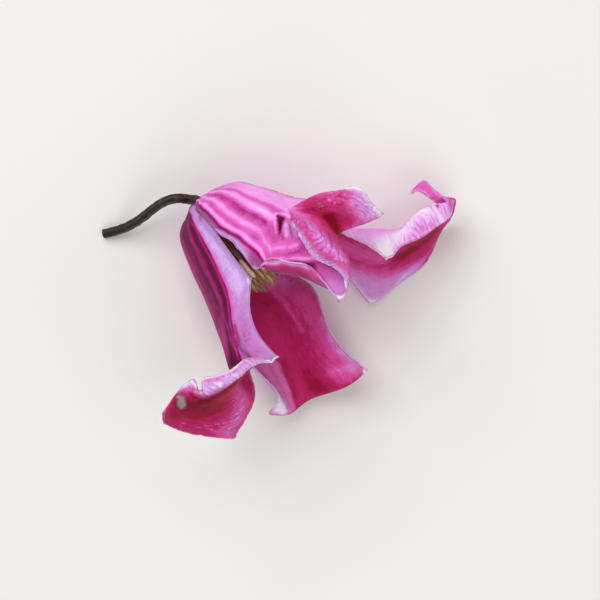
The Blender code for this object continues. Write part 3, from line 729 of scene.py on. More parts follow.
frontLower = {
    "piece": "frontLowerSepal",
    "node": "sepal_front_lower",
    "slot": "sepal_lower",
    "outside": -1,
    "net": [
        bellRow(0, -14, -100),
        bellRow(1.2, -21, -103),
        bellRow(2.4, -13.2, -104),
        bellRow(6, -9.5, -105),
        bellRow(11, -10.4, -105),
        bellRow(15, -10.8, -106),
        bellRow(19, -12.6, -107),
        bellRow(20.4, -17.0, -107.5),
        bellRow(22, -23, -108),
        [(-2.9, -6.6, 12.2), (-4.8, -7.4, 11.8), (-7.6, -8.0, 10.6), (-10.0, -8.6, 8.0), (-10.4, -8.2, 4.6),
         (-9.0, -8.2, 1.8), (-7.0, -8.0, 0.2)],
        [(-0.7, -9.5, 14.0), (-3.2, -10.0, 12.6), (-6.2, -10.8, 10.6), (-9.2, -11.8, 7.6), (-8.8, -12.6, 4.0),
         (-7.4, -12.8, 1.6), (-5.8, -12.6, 0.2)],
        [(-5.2, -9.7, 16.4), (-5.6, -11.2, 15.6), (-6.6, -12.8, 13.4), (-8.4, -15.0, 8.6), (-7.0, -16.6, 5.0),
         (-5.6, -17.4, 2.6), (-4.8, -17.8, 1.0)],
        [(-9.4, -12.2, 18.2), (-9.4, -13.4, 17.8), (-9.8, -15.0, 16.4), (-10.4, -18.2, 11.0),
         (-9.2, -21.0, 7.2), (-8.6, -23.2, 4.6), (-8.2, -24.4, 3.0)],
        [(-14.4, -13.7, 19.0), (-14.2, -15.2, 19.0), (-14.2, -17.2, 17.6), (-14.6, -20.0, 13.8),
         (-13.2, -22.8, 10.4), (-11.2, -24.6, 7.8), (-9.4, -25.7, 6.0)],
        [(-18.6, -15.2, 18.8), (-18.8, -16.4, 18.8), (-19.0, -17.8, 18.0), (-19.4, -20.2, 15.4),
         (-19.2, -22.2, 12.6), (-18.4, -23.6, 10.6), (-17.4, -24.6, 9.0)],
        narrowRow((-22.6, -21.6, 15.4), (0.1, -1.0, -1.2)),
    ],
    "tips": ((37.8, -1, 0.7, 0.7, 1.4), (54.1, -1, -3.6, 0.75, 2.6), (46.0, 1, 0.6, 0.7, 1.2),
             (23.2, -1, 0.6, 0.6, 1.0), (52.2, -1, 0.3, 0.8, 1.2), (56.0, -1, 0.3, 0.7, 1.2)),
    "ribs": (
        (0.16, 0.14, ((4, -0.45, 0.3), (8, -0.32, 0.6), (15, -0.27, 0.7), (22, -0.21, 0.7), (30, -0.34, 0.5),
                      (36, -0.36, 0.4))),
        (0.14, 0.04, ((6, 0.1, 0.5), (12, 0.15, 0.7), (22, 0.28, 0.7), (34, 0.1, 0.6))),
        (0.14, 0.04, ((4, 0.3, 0.4), (12, 0.4, 0.9), (24, 0.45, 0.9), (36, 0.4, 0.7))),
        (0.14, 0.04, ((4, 0.62, 0.4), (12, 0.7, 0.9), (24, 0.72, 0.9), (40, 0.7, 0.7))),
        (0.1, 0.22, ((3, -0.62, 0.2), (8, -0.6, 0.3), (15.4, -0.54, 0.32), (23, -0.41, 0.32),
                     (30, -0.44, 0.3), (35, -0.36, 0.3))),
    ),
    "strokes": (
        ("outer", 0.1, groove),
        ("ridge", -0.14, groove),
        ("outer", -0.1, ((26, -0.1, 1.6), (34, 0.0, 2.0))),
        ("outer", 0.2, ((29, -0.55, 0.5), (33, -0.5, 0.6), (37, -0.6, 0.6))),
        ("outer", -0.16, ((8, -0.82, 0.8), (14, -0.8, 1.4), (22, -0.76, 2.0))),
        ("outer", -0.08, ((22, -0.75, 2.2), (28, -0.75, 2.0))),
        ("outer", -0.1, ((12, 0.3, 3.0), (22, 0.35, 4.0), (30, 0.35, 4.0))),
        ("outer", -0.12, ((5, 0.6, 2.0), (14, 0.7, 3.0), (26, 0.7, 3.6), (36, 0.7, 3.0))),
        ("outer", -0.14, ((6, 0.62, 1.2), (12, 0.66, 2.0), (18, 0.64, 2.0))),
        ("outer", -0.1, ((28, 0.0, 1.4), (34, 0.05, 1.8))),
        ("outer", 0.06, ((8, -0.17, 0.4), (15, -0.05, 0.5), (22, -0.08, 0.5))),
        ("coolOuter", -0.42, ((26, -0.75, 1.6), (30, -0.7, 2.4), (36, -0.7, 2.8))),
        ("outer", 0.1, ((29, -0.8, 1.4), (32, -0.7, 1.6))),
        ("outer", 0.16, ((6, -0.95, 0.5), (14, -0.97, 0.5), (22, -0.98, 0.4))),
        ("frostOuter", 0.5, ((22.8, -1, 0.3), (23.6, -1, 0.3))),
        ("coolInner", 0.65, ((38, -1, 0.7), (41, -0.9, 1.0), (46, -0.78, 1.9), (50, -0.74, 2.3),
                             (53, -0.74, 2.2))),
        ("coolInner", 0.55, ((55.4, -0.95, 1.3), (58.5, -0.95, 1.0), (60, -0.95, 0.6))),
        ("inner", -0.36, ((38.5, -1, 0.7), (42, -0.86, 1.1), (46, -0.78, 1.8), (50, -0.74, 2.1),
                          (53, -0.74, 1.9))),
        ("inner", -0.3, ((55.4, -0.95, 1.2), (58.5, -0.95, 1.0))),
        ("lift", -0.7, ((39, -1, 0.6), (42, -0.88, 0.9), (46, -0.76, 1.4), (50, -0.7, 1.6),
                        (53, -0.72, 1.4))),
        ("lift", 0.35, ((42.5, -0.66, 0.5), (45.8, -0.42, 0.8), (48.3, -0.36, 0.8), (51, -0.34, 0.8),
                        (53.8, -0.36, 0.8))),
        ("inner", 0.28, ((42.5, -0.62, 0.5), (45.8, -0.36, 0.8), (48.3, -0.32, 0.8), (53.8, -0.34, 0.7),
                         (56.2, -0.6, 0.5))),
        ("frostInner", 0.8, ((37.4, -1, 0.4), (38.4, -1, 0.35), (46, -1, 0.4), (53, -1, 0.4),
                             (54, -0.8, 0.3))),
        ("frostInner", 0.5, ((55, -0.8, 0.3), (55.8, -1, 0.4), (59.5, -1, 0.35))),
        ("frostInner", 0.3, ((53.9, -0.66, 0.35), (55.0, -0.66, 0.35))),
        # painted shade: the inner face is darkened along the midrib valley of the folded end
        ("inner", 0.2, ((60.5, 0.0, 2.4), (56.4, 0.05, 3.0), (52, 0.0, 2.8), (49, 0.0, 2.0))),
        ("inner", 0.22, ((60, -0.5, 1.6), (56.5, -0.25, 1.8), (52, -0.18, 1.6))),
        ("inner", -0.24, ((43, 0.3, 2.6), (46, 0.6, 2.8), (52, 0.85, 2.2))),
        ("coolInner", 0.06, ((43, 0.3, 2.4), (46, 0.6, 2.6), (50, 0.8, 2.2))),
        ("scarInner", 0.6, ((59.7, -0.7, 0.8), (58.8, -0.5, 1.4), (57.9, -0.24, 1.0))),
        ("scarInner", 0.3, ((59.6, -0.36, 0.7), (58.8, -0.2, 0.6))),
        ("scarInner", 0.26, ((53.0, -0.17, 0.4), (51.0, -0.13, 0.4))),
    ),
    "bands": (
        ("coolOuter", 0.95, -1, 0.45, ((0.5, 0.0), (3, -0.7), (8, -0.7), (15.4, -0.67), (23, -0.56),
                                       (30, -0.56), (35, -0.48), (40, -0.4))),
        ("outer", -0.46, -1, 0.2, ((0.5, 0.1), (3, -0.66), (8, -0.65), (15.4, -0.6), (23, -0.46),
                                   (30, -0.49), (35, -0.42), (40, -0.34))),
    ),
    "crinkles": (
        (-0.3, 0.95, 22, ((39.5, -0.98, 0.8), (43, -0.85, 1.4), (47, -0.76, 2.2), (53, -0.74, 2.4))),
        (-0.26, 0.85, 20, ((55.6, -0.95, 1.2), (59, -0.95, 1.0))),
        (-0.26, 0.85, 72, ((60, 0.45, 1.8), (55, 0.5, 2.2), (50, 0.6, 2.4), (46, 0.5, 2.4))),
        (-0.22, 0.85, 60, ((44, 0.1, 2.0), (47, 0.1, 2.0))),
        (0.05, 1.3, 0, ((12, -0.8, 1.5), (26, -0.7, 2.0), (36, -0.7, 2.0))),
    ),
    "crinkleShading": 1.0,
    "outerTone": 0.97,
    "innerTone": 0.6,
    "paleRim": 0.1,
    "paleReach": 0.8,
    "grains": (0.14, 0.08, 0.12),
}

# the midrib and the ribs beside it on a back sepal: place across at four distances, and reach
plainRibs = ((0, 0, 0, 0, 1.2), (0.3, 0.35, 0.36, 0.36, 1.2), (0.6, 0.68, 0.7, 0.68, 1.1))


# A plain rib of a back sepal, numbered -2 to 2 across it, 0 the midrib, to a distance from the base.
def plainRib(number, end):
    foot, low, high, last, reach = plainRibs[abs(number)]
    side = -1 if number < 0 else 1
    path = ((1.5, side * foot, 0.3), (8, side * low, 0.9), (22, side * high, reach), (end, side * last, 0.9))
    return (0.26, 0.26, path)


# the rolled edge at the back lower sepal's end
rolledEdge = ((39, 0.4), (41.6, 0.24), (45.8, 0.32), (49.3, 0.42), (52, 0.5))

backLower = {
    "piece": "backLowerSepal",
    "node": "sepal_back_lower",
    "slot": "sepal_inner",
    "outside": 1,
    "net": [
        bellRow(0, -188, -110),
        bellRow(1.2, -188, -109),
        bellRow(2.4, -188, -110),
        bellRow(6, -188, -111),
        bellRow(11, -188, -112),
        bellRow(17, -190, -113),
        bellRow(23, -196, -115),
        [(7.2, 3.8, -9.5), (5.6, 2.4, -11.2), (2.6, 0.2, -13.2), (-0.6, -2.4, -14.4), (-3.8, -5.0, -12.6),
         (-6.0, -6.8, -9.0), (-7.4, -8.0, -5.6)],
        [(9.8, -3.0, -9.5), (8.2, -4.2, -11.6), (5.2, -5.8, -14.0), (1.2, -7.8, -15.4), (-2.4, -9.8, -13.8),
         (-4.4, -11.0, -10.6), (-5.2, -11.4, -7.0)],
        [(14.0, -9.2, -9.0), (11.6, -10.2, -11.0), (8.0, -11.8, -13.8), (4.0, -13.4, -15.6),
         (0.6, -15.0, -14.2), (-1.0, -16.0, -12.0), (-1.6, -15.2, -9.4)],
        [(16.4, -11.2, -9.0), (14.0, -12.4, -11.4), (10.2, -14.2, -14.2), (5.6, -15.8, -16.2),
         (2.4, -17.6, -15.2), (0.6, -18.8, -13.0), (0.0, -18.4, -10.6)],
        [(17.5, -12.6, -9.4), (15.6, -14.2, -11.6), (12.0, -16.0, -14.6), (6.8, -17.6, -16.8),
         (3.4, -19.8, -16.0), (1.2, -21.1, -13.6), (-1.4, -21.0, -11.4)],
        [(15.0, -11.6, -13.4), (13.6, -13.2, -15.4), (11.2, -15.2, -17.6), (7.2, -17.0, -19.2),
         (4.4, -18.6, -18.4), (2.2, -19.6, -17.0), (0.4, -19.6, -15.4)],
        [(11.6, -10.8, -16.2), (10.8, -12.0, -17.4), (9.4, -13.2, -18.8), (7.2, -14.2, -20.0),
         (5.2, -15.0, -19.4), (4.2, -15.2, -18.6), (3.4, -15.2, -17.6)],
        narrowRow((7.6, -10.7, -18.8), (-0.6, -0.3, 0.0)),
    ],
    "tips": ((51.3, -1, 0.7, 0.6, 1.4), (51.2, 1, 0.5, 0.8, 1.6)),
    "ribs": [plainRib(number, end) for number, end in ((-2, 40), (-1, 44), (0, 46), (1, 44), (2, 40))],
    "strokes": (
        ("inner", 0.1, ((26, -0.3, 2.2), (30, -0.2, 2.2), (34, -0.05, 1.8))),
        ("inner", 0.14, ((46, -0.2, 2.2), (49.8, -0.22, 2.4))),
        ("inner", 0.08, ((49.2, -0.1, 1.2), (50.8, -0.3, 1.4))),
        # the upper side's paler pink, made paler still where the front upper sepal's lip shades it: partly
        # its own colour, partly painted light
        ("inner", -0.2, ((24, -0.7, 2.4), (28, -0.76, 2.4))),
        ("inner", -0.1, ((31, -0.78, 2.4), (36, -0.82, 2.2), (44, -0.86, 1.8))),
        ("inner", -0.12, ((27, -0.56, 0.6), (32, -0.42, 0.7), (38, -0.45, 0.6))),
        ("inner", -0.14, ((38, -0.95, 0.9), (44, -0.94, 1.1), (49, -0.92, 1.5))),
        ("inner", -0.08, ((27, -0.7, 3.0), (38, -0.74, 3.4), (48, -0.72, 3.4))),
        ("coolInner", 0.3, ((28.5, -1, 0.4), (33.5, -1, 0.4))),
        ("coolInner", 0.3, ((45, -0.97, 0.7), (48.5, -0.95, 1.4), (50, -0.94, 1.4))),
        ("inner", -0.2, ((48.2, -0.64, 1.5), (49.2, -0.78, 1.6))),
        ("lift", -0.6, ((40, 0.55, 0.9), (44, 0.62, 1.3), (48, 0.72, 1.5), (50, 0.85, 1.2))),
        ("lift", 0.3, ((41.6, 0.14, 0.8), (45.8, 0.22, 0.9), (49.3, 0.34, 0.9))),
        ("inner", 0.1, ((41.6, 0.12, 0.9), (45.8, 0.2, 1.0), (49.3, 0.32, 1.0))),
        ("inner", 0.12, ((42, 0.85, 0.6), (45, 0.92, 0.6), (47, 0.97, 0.6))),
        ("frostInner", 0.7, ((49.2, 1, 0.6), (50.4, 0.97, 0.8), (50.8, 0.8, 0.5))),
        ("frostInner", 0.95, ((50.7, -1, 0.3), (51.3, -1, 0.5), (51.8, -1, 0.3))),
        ("coolInner", 0.5, ((49, 0.98, 1.4), (50.4, 0.85, 1.6))),
        ("inner", -0.3, ((49.4, 0.95, 1.2), (50.6, 0.8, 1.2))),
    ),
    "bands": (
        ("coolOuter", 0.7, -1, 0.4, ((1, -0.86), (20, -0.88), (50, -0.84))),
        ("coolOuter", 0.7, 1, 0.4, ((1, 0.86), (20, 0.88), (50, 0.84))),
        ("coolInner", 0.26, 1, 0.9, rolledEdge),
        ("inner", -0.24, 1, 0.9, rolledEdge),
    ),
    "crinkles": (
        (-0.26, 0.95, 30, ((49.4, 0.97, 1.4), (50.6, 0.8, 1.4))),
        (-0.08, 1.2, 80, ((44, 0.6, 1.8), (48.5, 0.7, 1.8))),
        (-0.07, 1.5, 60, ((47, -0.7, 2.0), (49, -0.6, 1.8))),
    ),
    "crinkleShading": 1.1,
    "outerTone": 0.58,
    "innerTone": 0.6,
    "paleRim": 0.16,
    "paleReach": 0.8,
    "grains": (0.03, 0.03, 0.06),
}

backUpper = {
    "piece": "backUpperSepal",
    "node": "sepal_back_upper",
    "slot": "sepal_inner",
    "outside": 1,
    "net": [
        bellRow(0, 88, 162),
        bellRow(1.2, 90, 166, 0.95),
        bellRow(2.4, 90, 167, 0.95),
        bellRow(6, 91, 168, 0.95),
        bellRow(11, 92, 168, 0.95),
        [(8.4, 18.8, 2.0), (9.2, 18.0, -1.0), (9.4, 16.6, -4.4), (8.2, 14.2, -8.4), (6.8, 12.0, -11.0),
         (5.8, 10.4, -12.0), (5.2, 9.4, -12.2)],
        [(14.2, 14.6, 1.0), (14.0, 16.0, -1.0), (14.8, 14.4, -6.0), (15.6, 11.8, -11.0), (15.6, 9.2, -14.0),
         (15.2, 7.2, -15.2), (14.8, 5.6, -15.4)],
        [(18.3, 12.6, -0.4), (17.2, 15.8, -2.3), (17.8, 13.7, -7.9), (18.6, 10.5, -12.5), (18.5, 7.4, -15.3),
         (17.8, 4.7, -16.4), (17.0, 2.9, -16.5)],
        [(21.6, 10.5, -1.5), (20.2, 15.6, -3.4), (20.6, 13.2, -9.4), (21.4, 9.8, -13.6), (21.2, 6.4, -16.4),
         (20.2, 3.4, -17.4), (19.1, 1.4, -17.4)],
        [(24.4, 12.4, -2.6), (24.8, 16.0, -4.0), (25.2, 13.8, -10.0), (26.6, 11.8, -14.6),
         (26.6, 9.4, -17.2), (25.6, 7.4, -18.4), (24.4, 5.1, -18.6)],
        [(28.4, 14.3, -3.6), (27.8, 18.7, -4.0), (29.2, 16.2, -10.5), (30.6, 14.6, -15.5),
         (31.0, 13.0, -18.0), (30.9, 11.4, -19.0), (30.1, 9.6, -19.0)],
        [(32.1, 16.8, -5.2), (31.4, 20.5, -5.0), (32.6, 18.4, -11.0), (33.6, 17.6, -15.0),
         (33.4, 16.6, -17.4), (32.6, 15.6, -18.6), (31.8, 14.4, -18.8)],
        [(34.9, 19.6, -8.2), (35.3, 21.6, -8.4), (35.6, 21.8, -9.8), (35.4, 21.2, -12.0), (35.4, 20.4, -13.6),
         (35.2, 19.4, -15.0), (34.8, 18.4, -15.8)],
        narrowRow((32.6, 22.1, -9.0), (-0.3, -0.8, -0.7)),
        narrowRow((30.5, 23.6, -7.4), (-0.5, -0.75, 0.1)),
        narrowRow((28.7, 24.8, -6.2), (-0.5, -1.0, 0.4)),
        narrowRow((27.1, 23.7, -5.4), (-0.3, -0.4, 0.3)),
    ],
    "tips": ((42.2, -1, 0.3, 0.4, 1.2), (42.1, 1, 0.5, 0.7, 1.6)),
    "ribs": (
        *(plainRib(number, end) for number, end in ((-1, 44.1), (0, 50.1), (1, 46.1), (2, 40.0))),
        (0.2, 0.2, ((1.5, -0.62, 0.3), (8, -0.68, 0.9), (20, -0.62, 1.0), (30, -0.6, 0.8))),
    ),
    "strokes": (
        ("coolOuter", 0.8, ((40.8, -0.93, 1.0), (42.3, -0.94, 1.2), (44.1, -0.92, 0.9))),
        ("frostOuter", 1.0, ((41.2, -0.96, 0.7), (42.3, -0.96, 1.0), (43.5, -0.96, 0.8))),
        ("outer", -0.22, ((33, -0.9, 2.0), (38.0, -0.9, 2.0), (42.1, -0.92, 2.0))),
        ("coolOuter", 0.5, ((45.1, -0.9, 1.4), (50.1, -0.88, 1.8), (56.1, -0.86, 1.8), (60.1, -0.86, 1.6))),
        ("outer", -0.36, ((44.1, -0.92, 1.6), (50.1, -0.9, 2.0), (56.1, -0.88, 1.8), (60.1, -0.88, 1.5))),
        ("frostOuter", 0.7, ((45.6, -0.85, 0.4), (50.1, -0.81, 0.45), (56.1, -0.81, 0.45))),
        ("outer", 0.3, ((59.6, -0.9, 1.0), (61.1, -0.8, 0.8))),
        ("outer", 0.7, ((58.3, -0.79, 0.35),)),
        ("lift", 0.25, ((47.1, -0.86, 1.0), (51.1, -0.84, 1.1), (56.1, -0.84, 1.0))),
        # painted shade: the inner face is darkened along the midrib valley near the end
        ("inner", 0.34, ((46.1, 0.0, 2.0), (49.1, -0.06, 2.4), (54.1, -0.1, 2.6))),
        ("inner", 0.12, ((49.1, -0.5, 1.6), (53.1, -0.55, 1.6), (57.1, -0.6, 1.4))),
        # the inner face's brighter magenta upper part, made paler still where the fold shades it: partly its
        # own colour, partly painted light
        ("inner", -0.2, ((30, -0.1, 2.4), (36.0, 0.0, 2.8), (41.0, -0.1, 2.8))),
        ("coolInner", 0.2, ((38.0, 0.75, 2.4), (42.1, 0.8, 2.4))),
        ("inner", -0.12, ((48.1, 0.9, 1.5), (52.1, 0.7, 1.6), (55.1, 0.5, 1.6))),
        ("frostInner", 0.8, ((41.6, 1, 0.5), (42.3, 1, 0.7))),
        ("inner", -0.2, ((64.1, 0.0, 2.0), (75.5, 0.0, 2.0))),
        ("outer", 0.14, ((63.6, 0.0, 1.8), (67.1, 0.0, 2.0), (75.5, 0.0, 2.0))),
        ("outer", 0.34, ((45.6, -1, 0.7), (51.1, -1, 1.3), (57.1, -1, 1.4))),
    ),
    "bands": (
        ("inner", -0.3, 1, 3.0, ((32, 0.7), (35.4, 0.55), (38.8, 0.4), (42.1, 0.34), (45.1, 0.4),
                                 (49.1, 0.62), (52.1, 0.85))),
        ("coolInner", 0.2, 1, 2.4, ((32, 0.75), (35.4, 0.6), (38.8, 0.5), (42.1, 0.42), (45.1, 0.5),
                                    (49.1, 0.8))),
        ("coolOuter", 0.7, 1, 0.4, ((1, 0.86), (20, 0.88), (40.0, 0.84))),
    ),
    "crinkles": (
        (0.3, 0.8, 50, ((45.6, -0.92, 1.4), (50.1, -0.9, 2.2), (56.1, -0.88, 2.0), (60.1, -0.88, 1.4))),
        (0.07, 1.5, 10, ((34, -0.9, 1.6), (40.0, -0.9, 1.6))),
        (-0.1, 1.2, 80, ((37.0, 0.75, 2.0), (42.1, 0.8, 2.4), (47.1, 0.85, 2.0))),
        (-0.06, 1.4, 0, ((66.1, 0.0, 1.5), (74.1, 0.0, 1.5))),
    ),
    "crinkleShading": 1.1,
    "outerTone": 0.42,
    "innerTone": 0.56,
    "paleRim": 0.3,
    "paleReach": 1.0,
    "grains": (0.07, 0.05, 0.12),
}

grain = makeGrainGroup()
for sepal in (frontUpper, frontLower, backLower, backUpper):
    growSepal(sepal, makeSepalMaterial(sepal["piece"] + "Skin", sepal["grains"], grain))


stalk = {
    "radius": 0.95,
    "route": ((-35.5, 15.2, 0), (-31.6, 16.3, 1.2), (-27.4, 18.6, 4.2), (-23.6, 21.3, 7.8),
              (-20.3, 22.3, 9.8)),  # x, y and height above the cut end
    "neck": (-17.9, 22.1, -0.5),
    "seat": ((0, 1.15), (1.2, 1.7), (2.2, 1.55), (3.2, 1.1), (4.0, 0.5)),  # (along the bell, radius)
    "rings": 220,
    "sides": 48,
    "furrows": 7,
    "furrowDepth": 0.045,
    "furrowTwist": 0.03,  # radians to the millimetre
    "knobs": (0.03, 1.6, 1.2),  # (height, length, breadth)
    "cutWidth": 0.9,  # the cut end is drawn in to this share of its width
    "tone": (0.28, 0.1, 0.12),  # in the middle, by the furrows, by blotches
    "blotch": 9,
    "cutTone": 0.95,
    "skin": ((0.0, "#100503"), (0.35, "#26110a"), (0.65, "#4a2618"), (1.0, "#a07a5e")),
    "look": {"streaks": 0.5, "folds": 0.15, "cells": 0.2, "roughness": (0.35, 0.55), "sheen": 0.0,
             "bump": 0.05},
}


# A round rod along a path: each ring stands square to the path, and its radius at an angle comes from the
# widths array (rings x sides). Each end closes on one point.
def rodShape(path, widths, upwards):
    tangent = unit(np.gradient(path, axis=0))
    side = unit(np.cross(tangent, upwards))
    up = np.cross(side, tangent)
    rings, sides = widths.shape
    turn = 2 * np.pi * np.arange(sides) / sides
    ring = np.cos(turn)[None, :, None] * side[:, None] + np.sin(turn)[None, :, None] * up[:, None]
    skin = path[:, None] + widths[..., None] * ring
    points = np.concatenate([skin.reshape(-1, 3), path[:1], path[-1:]])
    first, last = rings * sides, rings * sides + 1
    j = np.arange(sides)
    start = np.stack([np.full(sides, first), (j + 1) % sides, j], axis=-1)
    tail = (rings - 1) * sides
    end = np.stack([np.full(sides, last), tail + j, tail + (j + 1) % sides], axis=-1)
    return points, [gridFaces(rings, sides, wrap=True), start, end]


# A rod as a finished piece that stands for one CAD node, with tone and lay given to each of its points.
def rodPiece(name, path, widths, upwards, material, node, tone):
    points, faces = rodShape(path, widths, upwards)
    rings, sides = widths.shape
    walked = np.concatenate([[0], np.cumsum(np.linalg.norm(np.diff(path, axis=0), axis=1))])
    around = widths * (2 * np.pi * np.arange(sides) / sides)[None, :]
    lay = np.stack([np.repeat(walked[:, None], sides, axis=1), around, np.zeros_like(around)], axis=-1)
    ends = np.array([[walked[0], 0, 0], [walked[-1], 0, 0]])
    attributes = {
        "lay": np.concatenate([lay.reshape(-1, 3), ends]),
        "tone": np.concatenate([tone.ravel(), tone[0, :1], tone[-1, :1]]),
    }
    piece = fillMesh(name, points, faces, material, attributes)
    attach(piece, "root")
    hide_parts(node)


# Skin of a stalk, stamen or carpel: a ramp over the tone attribute moved by the grain.
def makeRodMaterial(name, rod, grain):
    look = rod["look"]
    material, tree, shader = newMaterial(name)
    detail = useGroup(tree, grain, Lay=readAttribute(tree, "lay", "Vector"), Streaks=look["streaks"],
                      Folds=look["folds"], Cells=look["cells"])
    tone = addMath(tree, "ADD", readAttribute(tree, "tone"), detail.outputs["Tone"], clamp=True)
    tree.links.new(addRamp(tree, tone, rod["skin"]), shader.inputs["Base Color"])
    finishSkin(tree, shader, detail.outputs["Height"], look)
    return material


# The stalk: a rod on a smooth curve through its route and its seat. Its radius is that of the stalk and then
# the seat's, plus furrows, depth * cos(furrows * angle + twist * distance), plus soft knobs.
def growStalk(grain):
    cutEnd = laidDown(np.array([*stalk["route"][0][:2], stalk["radius"]]))
    onFloor = 2 * stalk["radius"] - cutEnd[2]
    places = [(x, y, onFloor + height) for x, y, height in stalk["route"]] + [stalk["neck"]]
    routeCount = len(places)
    places += [tuple(inBell(along, 0.0, 0.0)) for along, _ in stalk["seat"]]
    places = np.array(places)
    widths = np.array([stalk["radius"]] * routeCount + [radius for _, radius in stalk["seat"]])
    stations = np.concatenate([[0], np.cumsum(np.linalg.norm(np.diff(places, axis=0), axis=1))])
    at = np.linspace(0, stations[-1], stalk["rings"])
    path = laidDown(splineWeights(stations, at) @ places)
    radius = np.interp(at, stations, widths)[:, None]
    turn = 2 * np.pi * np.arange(stalk["sides"]) / stalk["sides"]
    onStalk = 1 - easeBetween(at, stations[routeCount - 1], stations[routeCount])[:, None]
    depth, twist = stalk["furrowDepth"], stalk["furrowTwist"]
    furrows = depth * np.cos(stalk["furrows"] * turn + twist * at[:, None]) * onStalk
    size, length, breadth = stalk["knobs"]
    widths = radius + furrows + size * softNoise(at[:, None] / length, turn[None] * breadth, 5)
    widths[0] *= stalk["cutWidth"]
    middle, byFurrow, byBlotch = stalk["tone"]
    blotches = softNoise(at[:, None] / stalk["blotch"], turn[None], 8)
    tone = middle + byFurrow * furrows / depth + byBlotch * blotches
    tone[:1] = stalk["cutTone"]
    material = makeRodMaterial("stalkSkin", stalk, grain)
    rodPiece("flowerStalk", path, widths, (0, 0, 1), material, "stalk", tone)
    print("stalk grown,", round(stations[routeCount], 1), "mm to the seat")


stamen = {
    "perRing": 12,
    "gap": 0.3,
    "rings": ((0.9, 20.2, 4.6), (1.8, 21.4, 3.3), (2.7, 22.4, 2.2)),  # (foot along the bell, length, reach)
    "filament": 0.2,
    "anther": 0.44,
    "antherLength": 5.0,
    "firstTurn": -18,  # degrees
    "uneven": (0.5, 5),  # tips differ: (mm, times round)
    "lobes": 0.22,  # the two lobes of an anther, as a share of its thickness
    "taper": 0.75,  # of a filament
    "lumps": (0.08, 0.8, 1.5),  # (share of the thickness, length, breadth)
    "steps": 40,
    "sides": 14,
    "tone": (0.35, 0.24, 0.12, 0.15),  # of the filament, more on the anther, by the lobes, at random
    "ripe": {1: 0.8, 2: 0.3},  # these anthers have opened and are paler
    "skin": ((0.0, "#452818"), (0.4, "#8c5f40"), (0.7, "#b8935c"), (1.0, "#ead6ae")),
    "look": {"streaks": 0.5, "folds": 0.2, "cells": 0.35, "roughness": (0.55, 0.8), "sheen": 0.4,
             "bump": 0.06},
}


# Points round the bell's axis at one angle from +Z, from pairs of (distance along, distance from the axis).
def bellRod(turn, stations):
    along, reach = np.array(stations, float).T
    return inBell(along, reach * math.sin(turn), reach * math.cos(turn))


# A smooth path through points, at even steps: the path, the distances of its steps and those of the points.
def smoothPath(points, steps):
    knots = np.concatenate([[0], np.cumsum(np.linalg.norm(np.diff(points, axis=0), axis=1))])
    at = np.linspace(0, knots[-1], steps)
    return laidDown(splineWeights(knots, at) @ points), at, knots


# A rod's first and last rings at half their width, so that it closes on a blunt point.
def drawInEnds(widths):
    widths[[0, -1]] *= 0.5
    return widths


# The direction away from the bell's axis at one angle from +Z.
def awayFromAxis(turn):
    return inBell(0.0, math.sin(turn), math.cos(turn)) - inBell(0.0, 0.0, 0.0)


# The stamens, ring by ring: a thread from the seat to its tip, thicker over the anther by
# thickness * (1 + lobes * cos(2 * angle)), and uneven by soft noise.
def growStamens(grain):
    material = makeRodMaterial("stamenSkin", stamen, grain)
    rng = np.random.default_rng(11)
    thin = stamen["filament"] * stamen["taper"]
    size, lumpLength, lumpBreadth = stamen["lumps"]
    uneven, rounds = stamen["uneven"]
    base, onTop, byLobe, spread = stamen["tone"]
    for ring, (foot, length, reach) in enumerate(stamen["rings"]):
        start = np.interp(foot, *zip(*stalk["seat"])) + stamen["gap"] + stamen["filament"]
        for number in range(stamen["perRing"]):
            turn = 2 * math.pi * (number + 0.5 * ring) / stamen["perRing"] + math.radians(stamen["firstTurn"])
            tip = length + uneven * math.sin(rounds * turn)
            neck = tip - stamen["antherLength"]
            stations = [(foot, start), (foot + 0.5, start + 0.5), (foot + 3, 0.5 * (start + reach)),
                        (neck - 0.6, 0.96 * reach), (neck + 0.4, reach), (tip - 0.8, reach + 0.1),
                        (tip, reach + 0.1)]
            path, at, knots = smoothPath(bellRod(turn, stations), stamen["steps"])
            onAnther = easeBetween(at, knots[3], knots[3] + 1.2)
            onAnther = (onAnther * (1 - easeBetween(at, knots[-1] - 1.4, knots[-1])))[:, None]
            angle = 2 * np.pi * np.arange(stamen["sides"]) / stamen["sides"] + rng.uniform(0, np.pi)
            twoLobes = np.cos(2 * angle)[None]
            widths = thin + (stamen["anther"] - thin) * onAnther
            widths = widths * (1 + stamen["lobes"] * twoLobes * onAnther)
            lumps = softNoise(at[:, None] / lumpLength + 9 * number, angle[None] * lumpBreadth, ring + 3)
            widths = drawInEnds(widths * (1 + size * lumps))
            count = ring * stamen["perRing"] + number + 1
            tone = base + onTop * onAnther + byLobe * twoLobes + rng.uniform(-spread, spread)
            tone = tone + stamen["ripe"].get(count, 0.0) * onAnther
            rodPiece(f"stamen{count:02d}", path, widths, awayFromAxis(turn), material, f"stamen_{count:02d}",
                     tone)
    print("stamens grown")


carpel = {
    "count": 7,
    "length": 14.0,
    "ovary": 0.36,
    "style": 0.16,
    "reach": 1.15,
    "steps": 36,
    "sides": 12,
    "lumps": (0.1, 0.5, 2),  # (share of the thickness, length, breadth)
    "tone": (0.4, 0.35),  # at the ovary, more on the style
    "skin": ((0.0, "#3d4420"), (0.5, "#8f9a55"), (1.0, "#dfe2b4")),
    "look": {"streaks": 0.6, "folds": 0.1, "cells": 0.2, "roughness": (0.5, 0.75), "sheen": 0.5,
             "bump": 0.05},
}


